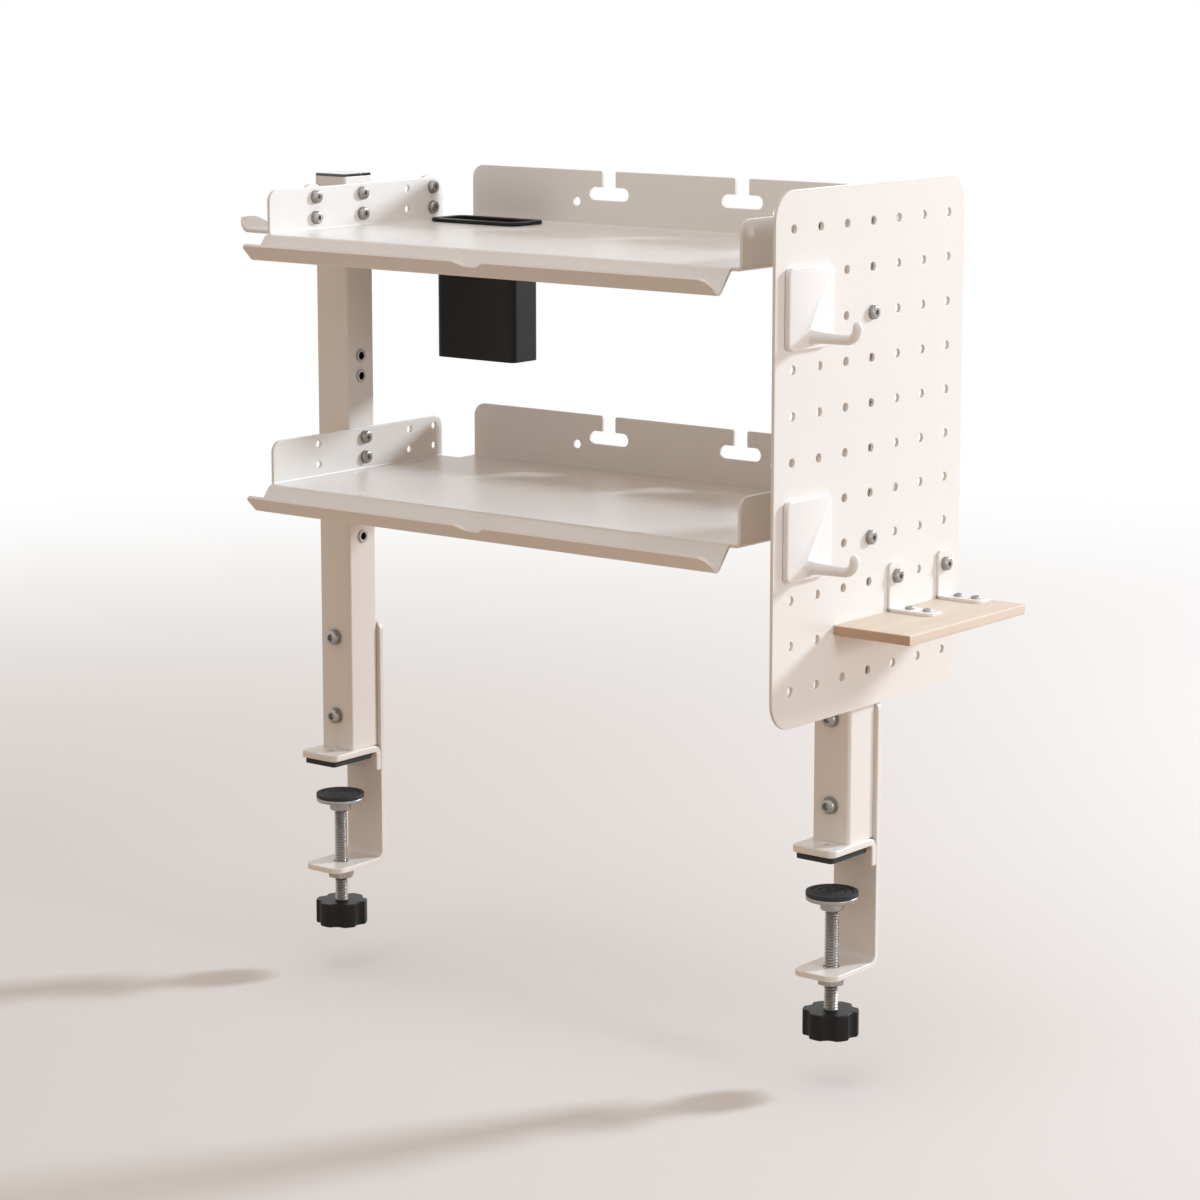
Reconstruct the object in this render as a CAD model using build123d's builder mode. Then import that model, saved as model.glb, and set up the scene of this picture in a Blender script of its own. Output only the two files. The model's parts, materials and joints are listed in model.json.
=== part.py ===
import os

from build123d import *

# Clamp-on desk shelf: two posts, two folded trays and a pegboard.
# The origin is midway between the posts, on their centre line, level with the undersides of the rubber pads.
# X runs from post to post, Y to the rear, Z up. Millimetres.

# Posts, square steel tube
post_spacing = 450.0  # between the post centres
post_side = 30.0
post_wall = 2.0
post_corner = 2.5
post_head = 12.0  # tube above its highest fixing
cap_thickness = 2.0
cap_plug_gap = 2.5  # plug end to the highest rivet nut
cap_plug_wall = 2.0
cap_fit = 0.1  # plug to tube wall
cap_edge = 0.6

# Upper jaw: angle bracket under each post, with a rubber pad
pad_thickness = 4.5
pad_inset = 2.5
pad_corner = 2.5
bracket_thickness = 5.0
bracket_width = 35.0
bracket_reach = 22.0  # in front of the post
bracket_bend = 2.0  # inside radius of the fold
bracket_drop = 10.0  # rear leg below the pad
bracket_corner = 5.0
bracket_edge = 1.2
bracket_hole = 5.5
bracket_hole_gap = 6.5  # post face to hole centre

# Clamp bar with the lower jaw, bolted to the back of each post
bar_thickness = 4.0
bar_width = 35.0
bar_margin = 10.0  # bar above its upper bolt
bar_corner = 8.0
bar_bend = 5.0  # inside radius of the fold
jaw_drop = 78.0  # jaw surface below the pad
jaw_tip = 23.0  # screw axis to the end of the jaw
bolt_low = 35.0
bolt_rise = 60.0  # between the two bolts
bolt_clearance = 0.3

# Clamp screw, knob and pressure foot
desk_thickness = 25.0  # board held at rest
screw_thread = 10.0
screw_neck = 7.0
screw_clearance = 0.06  # running fit
screw_tip = 1.0
jaw_nut_height = 8.0
jaw_nut_wall = 3.5
jaw_hole_clearance = 0.5
lift_room = 18.0  # jaw nut to knob
foot_diameter = 36.0
foot_margin = 9.0  # bar face to the rim of the foot
foot_thickness = 3.0
foot_pad_thickness = 3.0
foot_boss_wall = 4.5
foot_boss_height = 7.0
foot_gap = 0.3  # end play of the screw in the foot
foot_edge = 0.8
knob_diameter = 40.0
knob_height = 18.0
knob_bore_depth = 14.0
knob_lobes = 6
knob_scallop = 7.0
knob_edge = 2.0

# Trays folded from sheet
sheet = 2.5
tray_low = 222.0  # lower tray surface above the pads
tray_step = 180.0  # between the trays
level_step = 60.0  # between the lower fixing levels
tray_front = 100.0  # post centre to the front fold
rear_gap = 21.0  # end flange to the rear face
flange_setback = 2.0  # end flange behind the front fold
flange_margin = 7.0  # flange above its upper fixings
flange_corner = 8.0
fold = 1.5  # inside radius of the folds
gutter_run = 12.6
gutter_drop = 15.8
gutter_relief = 8.0  # right end of the gutter short of the flange
lip_run = 11.0
lip_rise = 11.0
lip_left_corner = 3.5
lip_right_corner = 9.0
lip_bend = 2.0
notch_width = 20.0
notch_depth = 5.0
notch_round = 2.2
rear_inset = 19.0  # rear upright from the ends of the tray
rear_height = 40.0
rear_corner = 10.0
slot_offset = 60.0  # T-slots each side of the middle
slot_length = 36.0
slot_gap = 9.6
slot_height = 23.4  # slot axis above the tray
neck_width = 12.0
neck_round = 1.2
rear_hole = 6.5
rear_hole_offset = 90.0
rear_hole_height = 17.0
column_offset = 50.0  # accessory columns before and behind the post
hook_column = 78.0  # rearmost column
hook_margin = 9.0  # flange behind the rearmost column
row_low = 9.0  # fixing rows above the tray
row_gap = 15.0
hole_clearance = 0.25  # fixing screw in its hole

# Side hooks, bent strip
hook_strip = 2.8
hook_width = 30.0
hook_rise = 2.0  # above the end flange
hook_foot = 12.6  # tongue underside below the lower screw
hook_reach = 54.0  # straight tongue
hook_tip = 15.0
hook_tip_run = 0.84  # share of the tip that runs outwards
hook_tip_rise = 0.54
hook_bend = 1.5  # inside radii
hook_tip_bend = 6.0

# Deep holder, dropped into the upper tray
pen_length = 75.0
pen_width = 30.0
pen_depth = 101.0
pen_wall = 2.0
pen_corner = 5.0
pen_rim = 4.5
pen_rim_thickness = 2.6
pen_side_gap = 12.0  # end flange to the rim
pen_rear_gap = 9.0  # rear upright to the rim
pen_clearance = 0.6
pen_seat = 0.2
pen_edge = 1.0

# Pegboard on the outside of the right post
peg_sheet = 2.5
peg_pitch = 30.0
peg_columns = 7
peg_rows = 11
peg_hole_gap = 0.5  # fixing screw in a peg hole
peg_side_margin = 20.0
peg_end_margin = 25.0
peg_corner = 20.0
peg_top_drop = 10.0  # top row below the post top
peg_high_screw = 3  # row of the upper fixing screw
peg_low_screw = 8

# Peg hooks, moulded plastic
holder_width = 50.0
holder_above = 5.7  # plate above its upper pegs
holder_below = 17.3  # plate below its lower pegs
holder_plate = 4.0
holder_corner = 5.0
holder_edge = 1.2
holder_seat = 0.2
holder_column = 1  # first of its two peg columns
holder_high_row = 2
holder_low_row = 7
peg_fit = 0.2
peg_tail = 3.0  # peg behind the board
arm_diameter = 6.5
arm_drop = 9.7  # arm below the lower pegs
arm_straight = 27.0
arm_curl = 8.0
arm_rise = 0.8  # straight end above the curl

# Wooden ledge on the pegboard, held by two angle brackets
ledge_depth = 60.0
ledge_near_margin = 71.0  # ledge ends to the middles of their brackets
ledge_far_margin = 11.0
ledge_thickness = 6.8
ledge_edge = 0.6
angle_row = 9
angle_near_column = 5
angle_far_column = 7
angle_thickness = 2.0
angle_width = 16.0
angle_drop = 23.4  # bolt to ledge top
angle_margin = 9.6  # bracket above its bolt
angle_bend = 1.5
angle_corner = 4.0
wood_screw = 3.5
wood_screw_rim = 1.5
wood_screw_head_height = 1.6
wood_screw_cover = 1.8  # wood under the tip
wood_screw_first = 13.0  # from the board to the first screw
wood_screw_step = 14.0
wood_screw_count = 2
wood_screw_margin = 8.0  # last screw to the bracket's end

# Fasteners
thread_gap = 0.05  # bolt to nut, radial
hex_sides = 6
bolt_thread = 8.0
bolt_head_rim = 3.0  # head beyond the thread
bolt_head_height = 4.4
bolt_socket = 5.0
bolt_nut_wall = 2.5
bolt_nut_height = 6.5
bolt_tail = 2.0
bolt_washer_rim = 4.0
bolt_washer_thickness = 1.4
screw_size = 5.0
screw_head_rim = 2.25
screw_head_height = 2.75
screw_socket = 3.0
screw_length = 12.0
washer_rim = 2.5
washer_thickness = 1.0
nut_wall = 1.5
nut_height = 4.0
rivet_wall = 1.0
rivet_rim = 1.3
rivet_flange_thickness = 1.0
rivet_gap = 3.0  # rivet nut short of the post's middle
socket_share = 0.55  # socket depth in the head
head_round_share = 0.6  # domed part of a button head
thread_tip = 0.6
fillet_share = 0.45  # most of a short edge that one fillet takes

# Places worked out from the sizes above
post_x = post_spacing / 2
post_half = post_side / 2
inner_face = post_x - post_half
outer_face = post_x + post_half
plate_top = pad_thickness + bracket_thickness
bracket_front = -post_half - bracket_reach
bolt_heights = (bolt_low, bolt_low + bolt_rise)
bar_top = bolt_low + bolt_rise + bar_margin
bar_back = post_half + bar_thickness
screw_y = post_half - foot_margin - foot_diameter / 2
tray_high = tray_low + tray_step
tray_half = inner_face - rivet_flange_thickness
tray_levels = (tray_high, tray_low)
fixing_levels = (tray_high, tray_low + level_step, tray_low, tray_low - level_step)
fixing_rows = (row_low, row_low + row_gap)
flange_height = row_low + row_gap + flange_margin
flange_rear = hook_column + hook_margin
flange_columns = (-column_offset, 0, column_offset, hook_column)
flange_hole = screw_size + 2 * hole_clearance
tray_rear = flange_rear + rear_gap
rear_width = 2 * (tray_half - rear_inset)
post_top = tray_high + row_low + row_gap + post_head
rivet_body = screw_size + 2 * rivet_wall
rivet_length = post_half - rivet_gap
pen_x = sheet - tray_half + pen_side_gap + pen_rim + pen_length / 2
pen_y = tray_rear - sheet - pen_rear_gap - pen_rim - pen_width / 2
peg_back = outer_face + rivet_flange_thickness
peg_face = peg_back + peg_sheet
peg_top_row = post_top - peg_top_drop
peg_hole = screw_size + 2 * peg_hole_gap
peg_screw_rows = (peg_high_screw, peg_low_screw)
angle_columns = (angle_near_column, angle_far_column)
sides = (("left", -1), ("right", 1))


def save(builder, name):
    builder.part.label = name
    export_step(builder.part, f"parts/{name}.step")


def peg_row(number):
    return peg_top_row - (number - 1) * peg_pitch


def peg_column(number):
    return (number - (peg_columns + 1) / 2) * peg_pitch


def facing(point, direction):
    return Plane(origin=point, z_dir=direction)


def socket_screw(thread, rim, head_height, socket, length):
    with BuildPart() as screw:
        with BuildSketch():
            Circle(thread / 2 + rim)
        extrude(amount=head_height)
        fillet(screw.edges().group_by(Axis.Z)[-1], head_height * head_round_share)
        with BuildSketch(Plane.XY.offset(head_height)):
            RegularPolygon(socket / 2, hex_sides, major_radius=False)
        extrude(amount=-head_height * socket_share, mode=Mode.SUBTRACT)
        with BuildSketch():
            Circle(thread / 2)
        extrude(amount=-length)
        chamfer(screw.edges().group_by(Axis.Z)[0], thread_tip)
    return screw.part


def ring(thread, rim, thickness):
    with BuildPart() as washer:
        with BuildSketch():
            Circle(thread / 2 + rim)
            Circle(thread / 2 + thread_gap, mode=Mode.SUBTRACT)
        extrude(amount=thickness)
    return washer.part


def hex_nut(thread, wall, height):
    with BuildPart() as nut:
        with BuildSketch():
            RegularPolygon(thread / 2 + wall, hex_sides, major_radius=False)
            Circle(thread / 2 + thread_gap, mode=Mode.SUBTRACT)
        extrude(amount=height)
    return nut.part


def rivet_nut():
    with BuildPart() as nut:
        with BuildSketch():
            Circle(rivet_body / 2 + rivet_rim)
        extrude(amount=rivet_flange_thickness)
        with BuildSketch():
            Circle(rivet_body / 2)
        extrude(amount=-rivet_length)
        with BuildSketch(Plane.XY.offset(rivet_flange_thickness)):
            Circle(screw_size / 2 + thread_gap)
        extrude(amount=-rivet_flange_thickness - rivet_length, mode=Mode.SUBTRACT)
    return nut.part


def save_group(piece, places, name):
    with BuildPart() as group:
        with Locations(*places):
            add(piece)
    save(group, name)


def tray(level, cutout):
    valley_y = -tray_front - gutter_run
    valley_z = level - gutter_drop
    lip_length = (lip_run**2 + lip_rise**2) ** 0.5
    lip_root = 2 * lip_bend
    root_y = valley_y - lip_root * lip_run / lip_length
    root_z = valley_z + lip_root * lip_rise / lip_length
    gutter_width = 2 * tray_half - gutter_relief
    wall = tray_half - sheet
    flange_top = level + flange_height
    with BuildPart() as folded:
        # Floor with its two end flanges
        with BuildSketch(Plane.XZ.offset(tray_front - flange_setback)):
            with BuildLine():
                FilletPolyline(
                    (-wall, flange_top),
                    (-wall, level),
                    (wall, level),
                    (wall, flange_top),
                    radius=fold,
                )
                offset(amount=sheet, side=Side.RIGHT)
            make_face()
        extrude(amount=flange_setback - tray_front - flange_rear)
        fillet(folded.edges().filter_by(Axis.X).group_by(Axis.Z)[-1], flange_corner)
        # Front gutter: a slope down to the valley, then the lip
        with BuildSketch(Plane.YZ.offset(-tray_half)):
            with BuildLine():
                FilletPolyline(
                    (flange_setback - tray_front, level),
                    (-tray_front, level),
                    (valley_y, valley_z),
                    (root_y, root_z),
                    radius=(fold + sheet, lip_bend),
                )
                offset(amount=sheet, side=Side.LEFT)
            make_face()
        extrude(amount=gutter_width)
        lip_plane = Plane((0, valley_y, valley_z), x_dir=(1, 0, 0), z_dir=(0, -lip_rise, -lip_run))
        with BuildSketch(lip_plane) as lip:
            with Locations((-tray_half, lip_root)):
                Rectangle(gutter_width, lip_length - lip_root, align=(Align.MIN, Align.MIN))
            tips = lip.vertices().group_by(Axis.Y)[-1].sort_by(Axis.X)
            fillet(tips[0], min(lip_left_corner, lip_length - lip_root))
            tips = lip.vertices().group_by(Axis.Y)[-1].sort_by(Axis.X)
            fillet(tips[-1], min(lip_right_corner, lip_length - lip_root))
            with Locations((0, lip_length)):
                Rectangle(notch_width, 2 * notch_depth, mode=Mode.SUBTRACT)
            corners = lip.vertices().filter_by_position(Axis.X, -notch_width, notch_width)
            fillet(corners, min(notch_round, notch_depth * fillet_share))
        extrude(amount=sheet)
        # Rear upright with T-slots and round holes
        bend_top = level + fold + sheet
        with BuildSketch(Plane.YZ.offset(-rear_width / 2)):
            with BuildLine():
                FilletPolyline(
                    (flange_rear, level),
                    (tray_rear - sheet, level),
                    (tray_rear - sheet, bend_top),
                    radius=fold,
                )
                offset(amount=sheet, side=Side.RIGHT)
            make_face()
        extrude(amount=rear_width)
        with BuildSketch(Plane.XZ.offset(-tray_rear)) as upright:
            with Locations((0, bend_top)):
                Rectangle(rear_width, level + rear_height - bend_top, align=(Align.CENTER, Align.MIN))
            fillet(upright.vertices().group_by(Axis.Y)[-1], rear_corner)
            slot_z = level + slot_height
            with Locations((-slot_offset, slot_z), (slot_offset, slot_z)):
                SlotOverall(slot_length, slot_gap, mode=Mode.SUBTRACT)
                Rectangle(
                    neck_width,
                    2 * (rear_height - slot_height),
                    align=(Align.CENTER, Align.MIN),
                    mode=Mode.SUBTRACT,
                )
            necks = [
                corner
                for corner in upright.vertices()
                if abs(abs(abs(corner.X) - slot_offset) - neck_width / 2) < neck_round
            ]
            fillet(necks, neck_round)
            hole_z = level + rear_hole_height
            with Locations((-rear_hole_offset, hole_z), (rear_hole_offset, hole_z)):
                Circle(rear_hole / 2, mode=Mode.SUBTRACT)
        extrude(amount=sheet)
        # Fixing and accessory holes through both end flanges
        with BuildSketch(Plane.YZ.offset(-tray_half)):
            with Locations(*[(y, level + z) for y in flange_columns for z in fixing_rows]):
                Circle(flange_hole / 2)
        extrude(amount=2 * tray_half, mode=Mode.SUBTRACT)
        if cutout:
            with BuildSketch(Plane.XY.offset(level)):
                with Locations((pen_x, pen_y)):
                    RectangleRounded(
                        pen_length + 2 * pen_clearance,
                        pen_width + 2 * pen_clearance,
                        pen_corner + pen_clearance,
                    )
            extrude(amount=-sheet, mode=Mode.SUBTRACT)
    return folded


def headphone_hook(y):
    back = -tray_half
    foot = tray_high + row_low - hook_foot
    nut_corner = (screw_size / 2 + nut_wall) * 2 / 3**0.5
    bend = min(hook_bend, hook_foot - hook_strip - nut_corner)
    top = tray_high + flange_height + hook_rise
    tongue_end = back - hook_reach
    tip_x = tongue_end - hook_tip * hook_tip_run
    with BuildPart() as hook:
        with BuildSketch(Plane.XZ.offset(hook_width / 2 - y)):
            with BuildLine():
                FilletPolyline(
                    (back, top),
                    (back, foot),
                    (tongue_end, foot),
                    (tip_x, foot + hook_tip * hook_tip_rise),
                    radius=(bend + hook_strip, hook_tip_bend + hook_strip),
                )
                offset(amount=hook_strip, side=Side.RIGHT)
            make_face()
        extrude(amount=-hook_width)
        # Round both ends of the strip
        with BuildSketch(Plane.YZ.offset(back)):
            with Locations((y, top - hook_width / 2)):
                Circle(hook_width / 2)
            with Locations((y, top - hook_width / 2)):
                Rectangle(hook_width, 2 * (top - foot), align=(Align.CENTER, Align.MAX))
        extrude(amount=tip_x - back - hook_strip, mode=Mode.INTERSECT)
        with BuildSketch(Plane.XY.offset(foot)):
            with Locations((tip_x + hook_width / 2, y)):
                Circle(hook_width / 2)
                Rectangle(back - tip_x, hook_width, align=(Align.MIN, Align.CENTER))
        extrude(amount=top - foot, mode=Mode.INTERSECT)
        with BuildSketch(Plane.YZ.offset(back)):
            with Locations(*[(y, tray_high + z) for z in fixing_rows]):
                Circle(flange_hole / 2)
        extrude(amount=-hook_strip, mode=Mode.SUBTRACT)
    return hook


def peg_hook(first_row):
    upper = peg_row(first_row)
    lower = peg_row(first_row + 1)
    columns = (peg_column(holder_column), peg_column(holder_column + 1))
    pegs = [(y, z) for y in columns for z in (upper, lower)]
    middle = sum(columns) / len(columns)
    back = peg_face + holder_seat
    front = back + holder_plate
    arm_z = lower - arm_drop
    with BuildPart() as holder:
        with BuildSketch(Plane.YZ.offset(back)):
            with Locations((middle, (upper + holder_above + lower - holder_below) / 2)):
                RectangleRounded(holder_width, upper - lower + holder_above + holder_below, holder_corner)
        extrude(amount=holder_plate)
        fillet(holder.faces().sort_by(Axis.X)[-1].edges(), holder_edge)
        with BuildSketch(Plane.YZ.offset(back)):
            with Locations(*pegs):
                Circle(peg_hole / 2 - peg_fit)
        extrude(amount=-holder_seat - peg_sheet - peg_tail)
        chamfer(holder.faces().sort_by(Axis.X)[: len(pegs)].edges(), peg_fit)
        # Round arm that curls up to a domed end
        bend_x = front + arm_straight + arm_curl
        tip_z = arm_z + arm_curl + arm_rise
        with BuildLine(Plane.XZ.offset(-middle)) as route:
            FilletPolyline((back, arm_z), (bend_x, arm_z), (bend_x, tip_z), radius=arm_curl)
        with BuildSketch(Plane.YZ.offset(back)):
            with Locations((middle, arm_z)):
                Circle(arm_diameter / 2)
        sweep(path=route.line)
        with Locations((bend_x, middle, tip_z)):
            Sphere(arm_diameter / 2)
    return holder


os.makedirs("parts", exist_ok=True)

# Fasteners that are used more than once
shelf_screw = socket_screw(screw_size, screw_head_rim, screw_head_height, screw_socket, screw_length)
shelf_washer = ring(screw_size, washer_rim, washer_thickness)
shelf_nut = hex_nut(screw_size, nut_wall, nut_height)
bolt_length = bolt_washer_thickness + post_side + bar_thickness + bolt_nut_height + bolt_tail
post_bolt = socket_screw(bolt_thread, bolt_head_rim, bolt_head_height, bolt_socket, bolt_length)
post_washer = ring(bolt_thread, bolt_washer_rim, bolt_washer_thickness)
post_nut = hex_nut(bolt_thread, bolt_nut_wall, bolt_nut_height)

# Posts, caps and clamps
foot_top = -desk_thickness
foot_plate_top = foot_top - foot_pad_thickness
foot_plate_bottom = foot_plate_top - foot_thickness
boss_bottom = foot_plate_bottom - foot_boss_height
jaw_bottom = -jaw_drop - bar_thickness
knob_top = jaw_bottom - jaw_nut_height - lift_room
knob_bottom = knob_top - knob_height

for side, sign in sides:
    x = sign * post_x
    axis = (x, screw_y)
    with BuildPart() as post:
        with BuildSketch(Plane.XY.offset(plate_top)):
            with Locations((x, 0)):
                RectangleRounded(post_side, post_side, post_corner)
                Rectangle(post_side - 2 * post_wall, post_side - 2 * post_wall, mode=Mode.SUBTRACT)
        extrude(amount=post_top - plate_top)
        with BuildSketch(Plane.XZ):
            with Locations(*[(x, z) for z in bolt_heights]):
                Circle(bolt_thread / 2 + bolt_clearance)
        extrude(amount=post_side, both=True, mode=Mode.SUBTRACT)
        with BuildSketch(Plane.YZ.offset(sign * inner_face)):
            with Locations(*[(0, level + z) for level in fixing_levels for z in fixing_rows]):
                Circle(rivet_body / 2 + thread_gap)
        extrude(amount=post_half, both=True, mode=Mode.SUBTRACT)
        if sign > 0:
            with BuildSketch(Plane.YZ.offset(outer_face)):
                with Locations(*[(0, peg_row(row)) for row in peg_screw_rows]):
                    Circle(rivet_body / 2 + thread_gap)
            extrude(amount=post_half, both=True, mode=Mode.SUBTRACT)
    save(post, f"{side}_post")

    plug = post_side - 2 * post_wall - 2 * cap_fit
    plug_depth = post_head - rivet_body / 2 - cap_plug_gap
    with BuildPart() as cap:
        with BuildSketch(Plane.XY.offset(post_top)):
            with Locations((x, 0)):
                RectangleRounded(post_side, post_side, post_corner)
        extrude(amount=cap_thickness)
        fillet(cap.faces().sort_by(Axis.Z)[-1].edges(), cap_edge)
        with BuildSketch(Plane.XY.offset(post_top)):
            with Locations((x, 0)):
                Rectangle(plug, plug)
                Rectangle(plug - 2 * cap_plug_wall, plug - 2 * cap_plug_wall, mode=Mode.SUBTRACT)
        extrude(amount=-plug_depth)
    save(cap, f"{side}_post_cap")

    hole_y = -post_half - bracket_hole_gap
    with BuildPart() as bracket:
        with BuildSketch(Plane.YZ.offset(x - bracket_width / 2)):
            with BuildLine():
                FilletPolyline(
                    (bracket_front, plate_top),
                    (post_half, plate_top),
                    (post_half, -bracket_drop),
                    radius=bracket_bend + bracket_thickness,
                )
                offset(amount=bracket_thickness, side=Side.RIGHT)
            make_face()
        extrude(amount=bracket_width)
        fillet(bracket.edges().filter_by(Axis.Z).group_by(Axis.Y)[0], bracket_corner)
        plate_face = bracket.faces().filter_by(Axis.Z).sort_by(Axis.Z)[-1]
        fillet(plate_face.edges().sort_by(Axis.Y)[:-1], bracket_edge)
        with BuildSketch(Plane.XY.offset(plate_top)):
            with Locations((x, hole_y)):
                Circle(bracket_hole / 2)
        extrude(amount=-bracket_thickness, mode=Mode.SUBTRACT)
    save(bracket, f"{side}_base_bracket")

    pad_front = bracket_front + pad_inset
    pad_rear = post_half - bracket_thickness - bracket_bend
    with BuildPart() as pad:
        with BuildSketch():
            with Locations((x, (pad_front + pad_rear) / 2)):
                RectangleRounded(bracket_width - 2 * pad_inset, pad_rear - pad_front, pad_corner)
            with Locations((x, hole_y)):
                Circle(bracket_hole / 2, mode=Mode.SUBTRACT)
        extrude(amount=pad_thickness)
    save(pad, f"{side}_desk_pad")

    with BuildPart() as bar:
        with BuildSketch(Plane.YZ.offset(x - bar_width / 2)):
            with BuildLine():
                FilletPolyline(
                    (post_half, bar_top),
                    (post_half, -jaw_drop),
                    (screw_y - jaw_tip, -jaw_drop),
                    radius=bar_bend,
                )
                offset(amount=bar_thickness, side=Side.LEFT)
            make_face()
        extrude(amount=bar_width)
        fillet(bar.edges().filter_by(Axis.Y).group_by(Axis.Z)[-1], bar_corner)
        fillet(bar.edges().filter_by(Axis.Z).group_by(Axis.Y)[0], bar_corner)
        with BuildSketch(Plane.XZ):
            with Locations(*[(x, z) for z in bolt_heights]):
                Circle(bolt_thread / 2 + bolt_clearance)
        extrude(amount=post_side, both=True, mode=Mode.SUBTRACT)
        with BuildSketch(Plane.XY.offset(-jaw_drop)):
            with Locations(axis):
                Circle(screw_thread / 2 + jaw_hole_clearance)
        extrude(amount=-bar_thickness, mode=Mode.SUBTRACT)
    save(bar, f"{side}_clamp_bar")

    washer_places = [facing((x, -post_half, z), (0, -1, 0)) for z in bolt_heights]
    head_places = [facing((x, -post_half - bolt_washer_thickness, z), (0, -1, 0)) for z in bolt_heights]
    nut_places = [facing((x, bar_back, z), (0, 1, 0)) for z in bolt_heights]
    save_group(post_washer, washer_places, f"{side}_bar_washers")
    save_group(post_bolt, head_places, f"{side}_bar_bolts")
    save_group(post_nut, nut_places, f"{side}_bar_nuts")

    with BuildPart() as jaw_nut:
        with BuildSketch(Plane.XY.offset(jaw_bottom)):
            with Locations(axis):
                RegularPolygon(screw_thread / 2 + jaw_nut_wall, hex_sides, major_radius=False)
                Circle(screw_thread / 2 + screw_clearance, mode=Mode.SUBTRACT)
        extrude(amount=-jaw_nut_height)
    save(jaw_nut, f"{side}_jaw_nut")

    with BuildPart() as pressure_pad:
        with BuildSketch(Plane.XY.offset(foot_plate_top)):
            with Locations(axis):
                Circle(foot_diameter / 2)
        extrude(amount=foot_pad_thickness)
        fillet(pressure_pad.edges().group_by(Axis.Z)[-1], foot_edge)
    save(pressure_pad, f"{side}_pressure_pad")

    with BuildPart() as pressure_plate:
        with BuildSketch(Plane.XY.offset(foot_plate_bottom)):
            with Locations(axis):
                Circle(foot_diameter / 2)
        extrude(amount=foot_thickness)
        with BuildSketch(Plane.XY.offset(foot_plate_bottom)):
            with Locations(axis):
                Circle(screw_neck / 2 + foot_boss_wall)
                Circle(screw_neck / 2 + screw_clearance, mode=Mode.SUBTRACT)
        extrude(amount=-foot_boss_height)
    save(pressure_plate, f"{side}_pressure_plate")

    with BuildPart() as clamp_screw:
        with BuildSketch(Plane.XY.offset(boss_bottom - foot_gap)):
            with Locations(axis):
                Circle(screw_neck / 2)
        extrude(amount=foot_boss_height)
        with BuildSketch(Plane.XY.offset(boss_bottom - foot_gap)):
            with Locations(axis):
                Circle(screw_thread / 2)
        extrude(amount=knob_top - knob_bore_depth - boss_bottom + foot_gap)
        chamfer(clamp_screw.edges().group_by(Axis.Z)[0], screw_tip)
    save(clamp_screw, f"{side}_clamp_screw")

    with BuildPart() as knob:
        with BuildSketch(Plane.XY.offset(knob_bottom)):
            with Locations(axis):
                Circle(knob_diameter / 2)
                with PolarLocations(knob_diameter / 2 + knob_scallop / 2, knob_lobes):
                    Circle(knob_scallop, mode=Mode.SUBTRACT)
        extrude(amount=knob_height)
        fillet(knob.faces().filter_by(Axis.Z).edges(), knob_edge)
        with BuildSketch(Plane.XY.offset(knob_top)):
            with Locations(axis):
                Circle(screw_thread / 2 + thread_gap)
        extrude(amount=-knob_bore_depth, mode=Mode.SUBTRACT)
    save(knob, f"{side}_clamp_knob")

    rivet_heights = [level + z for level in fixing_levels for z in fixing_rows]
    rivet_places = [facing((sign * inner_face, 0, z), (-sign, 0, 0)) for z in rivet_heights]
    save_group(rivet_nut(), rivet_places, f"{side}_rivet_nuts")

# Trays with their fixing screws
for name, level in zip(("upper", "lower"), tray_levels):
    save(tray(level, cutout=level == tray_high), f"{name}_tray")
    heights = [level + z for z in fixing_rows]
    flange_face = tray_half - sheet
    washers = [facing((s * flange_face, 0, z), (-s, 0, 0)) for _, s in sides for z in heights]
    washer_face = flange_face - washer_thickness
    heads = [facing((s * washer_face, 0, z), (-s, 0, 0)) for _, s in sides for z in heights]
    save_group(shelf_washer, washers, f"{name}_tray_washers")
    save_group(shelf_screw, heads, f"{name}_tray_screws")

# Bent hooks on the outside of the upper tray, screwed from inside
hook_places = (("front", -column_offset), ("rear", hook_column))
for name, y in hook_places:
    save(headphone_hook(y), f"{name}_headphone_hook")
hook_points = [(y, tray_high + z) for _, y in hook_places for z in fixing_rows]
inside = sheet - tray_half
outside = -tray_half - hook_strip
hook_washers = [facing((inside, y, z), (1, 0, 0)) for y, z in hook_points]
save_group(shelf_washer, hook_washers, "headphone_hook_washers")
hook_heads = [facing((inside + washer_thickness, y, z), (1, 0, 0)) for y, z in hook_points]
save_group(shelf_screw, hook_heads, "headphone_hook_screws")
hook_nuts = [facing((outside, y, z), (-1, 0, 0)) for y, z in hook_points]
save_group(shelf_nut, hook_nuts, "headphone_hook_nuts")

# Deep holder that hangs in the upper tray
pen_floor = tray_high + pen_seat - pen_depth
with BuildPart() as pen_holder:
    with BuildSketch(Plane.XY.offset(pen_floor)):
        with Locations((pen_x, pen_y)):
            RectangleRounded(pen_length, pen_width, pen_corner)
    extrude(amount=pen_depth)
    fillet(pen_holder.faces().sort_by(Axis.Z)[0].edges(), pen_edge)
    with BuildSketch(Plane.XY.offset(tray_high + pen_seat)):
        with Locations((pen_x, pen_y)):
            RectangleRounded(pen_length + 2 * pen_rim, pen_width + 2 * pen_rim, pen_corner + pen_rim)
    extrude(amount=pen_rim_thickness)
    fillet(pen_holder.faces().sort_by(Axis.Z)[-1].edges(), pen_edge)
    with BuildSketch(Plane.XY.offset(pen_floor + pen_wall)):
        with Locations((pen_x, pen_y)):
            RectangleRounded(pen_length - 2 * pen_wall, pen_width - 2 * pen_wall, pen_corner - pen_wall)
    extrude(amount=pen_depth + pen_rim_thickness, mode=Mode.SUBTRACT)
save(pen_holder, "pen_holder")

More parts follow.
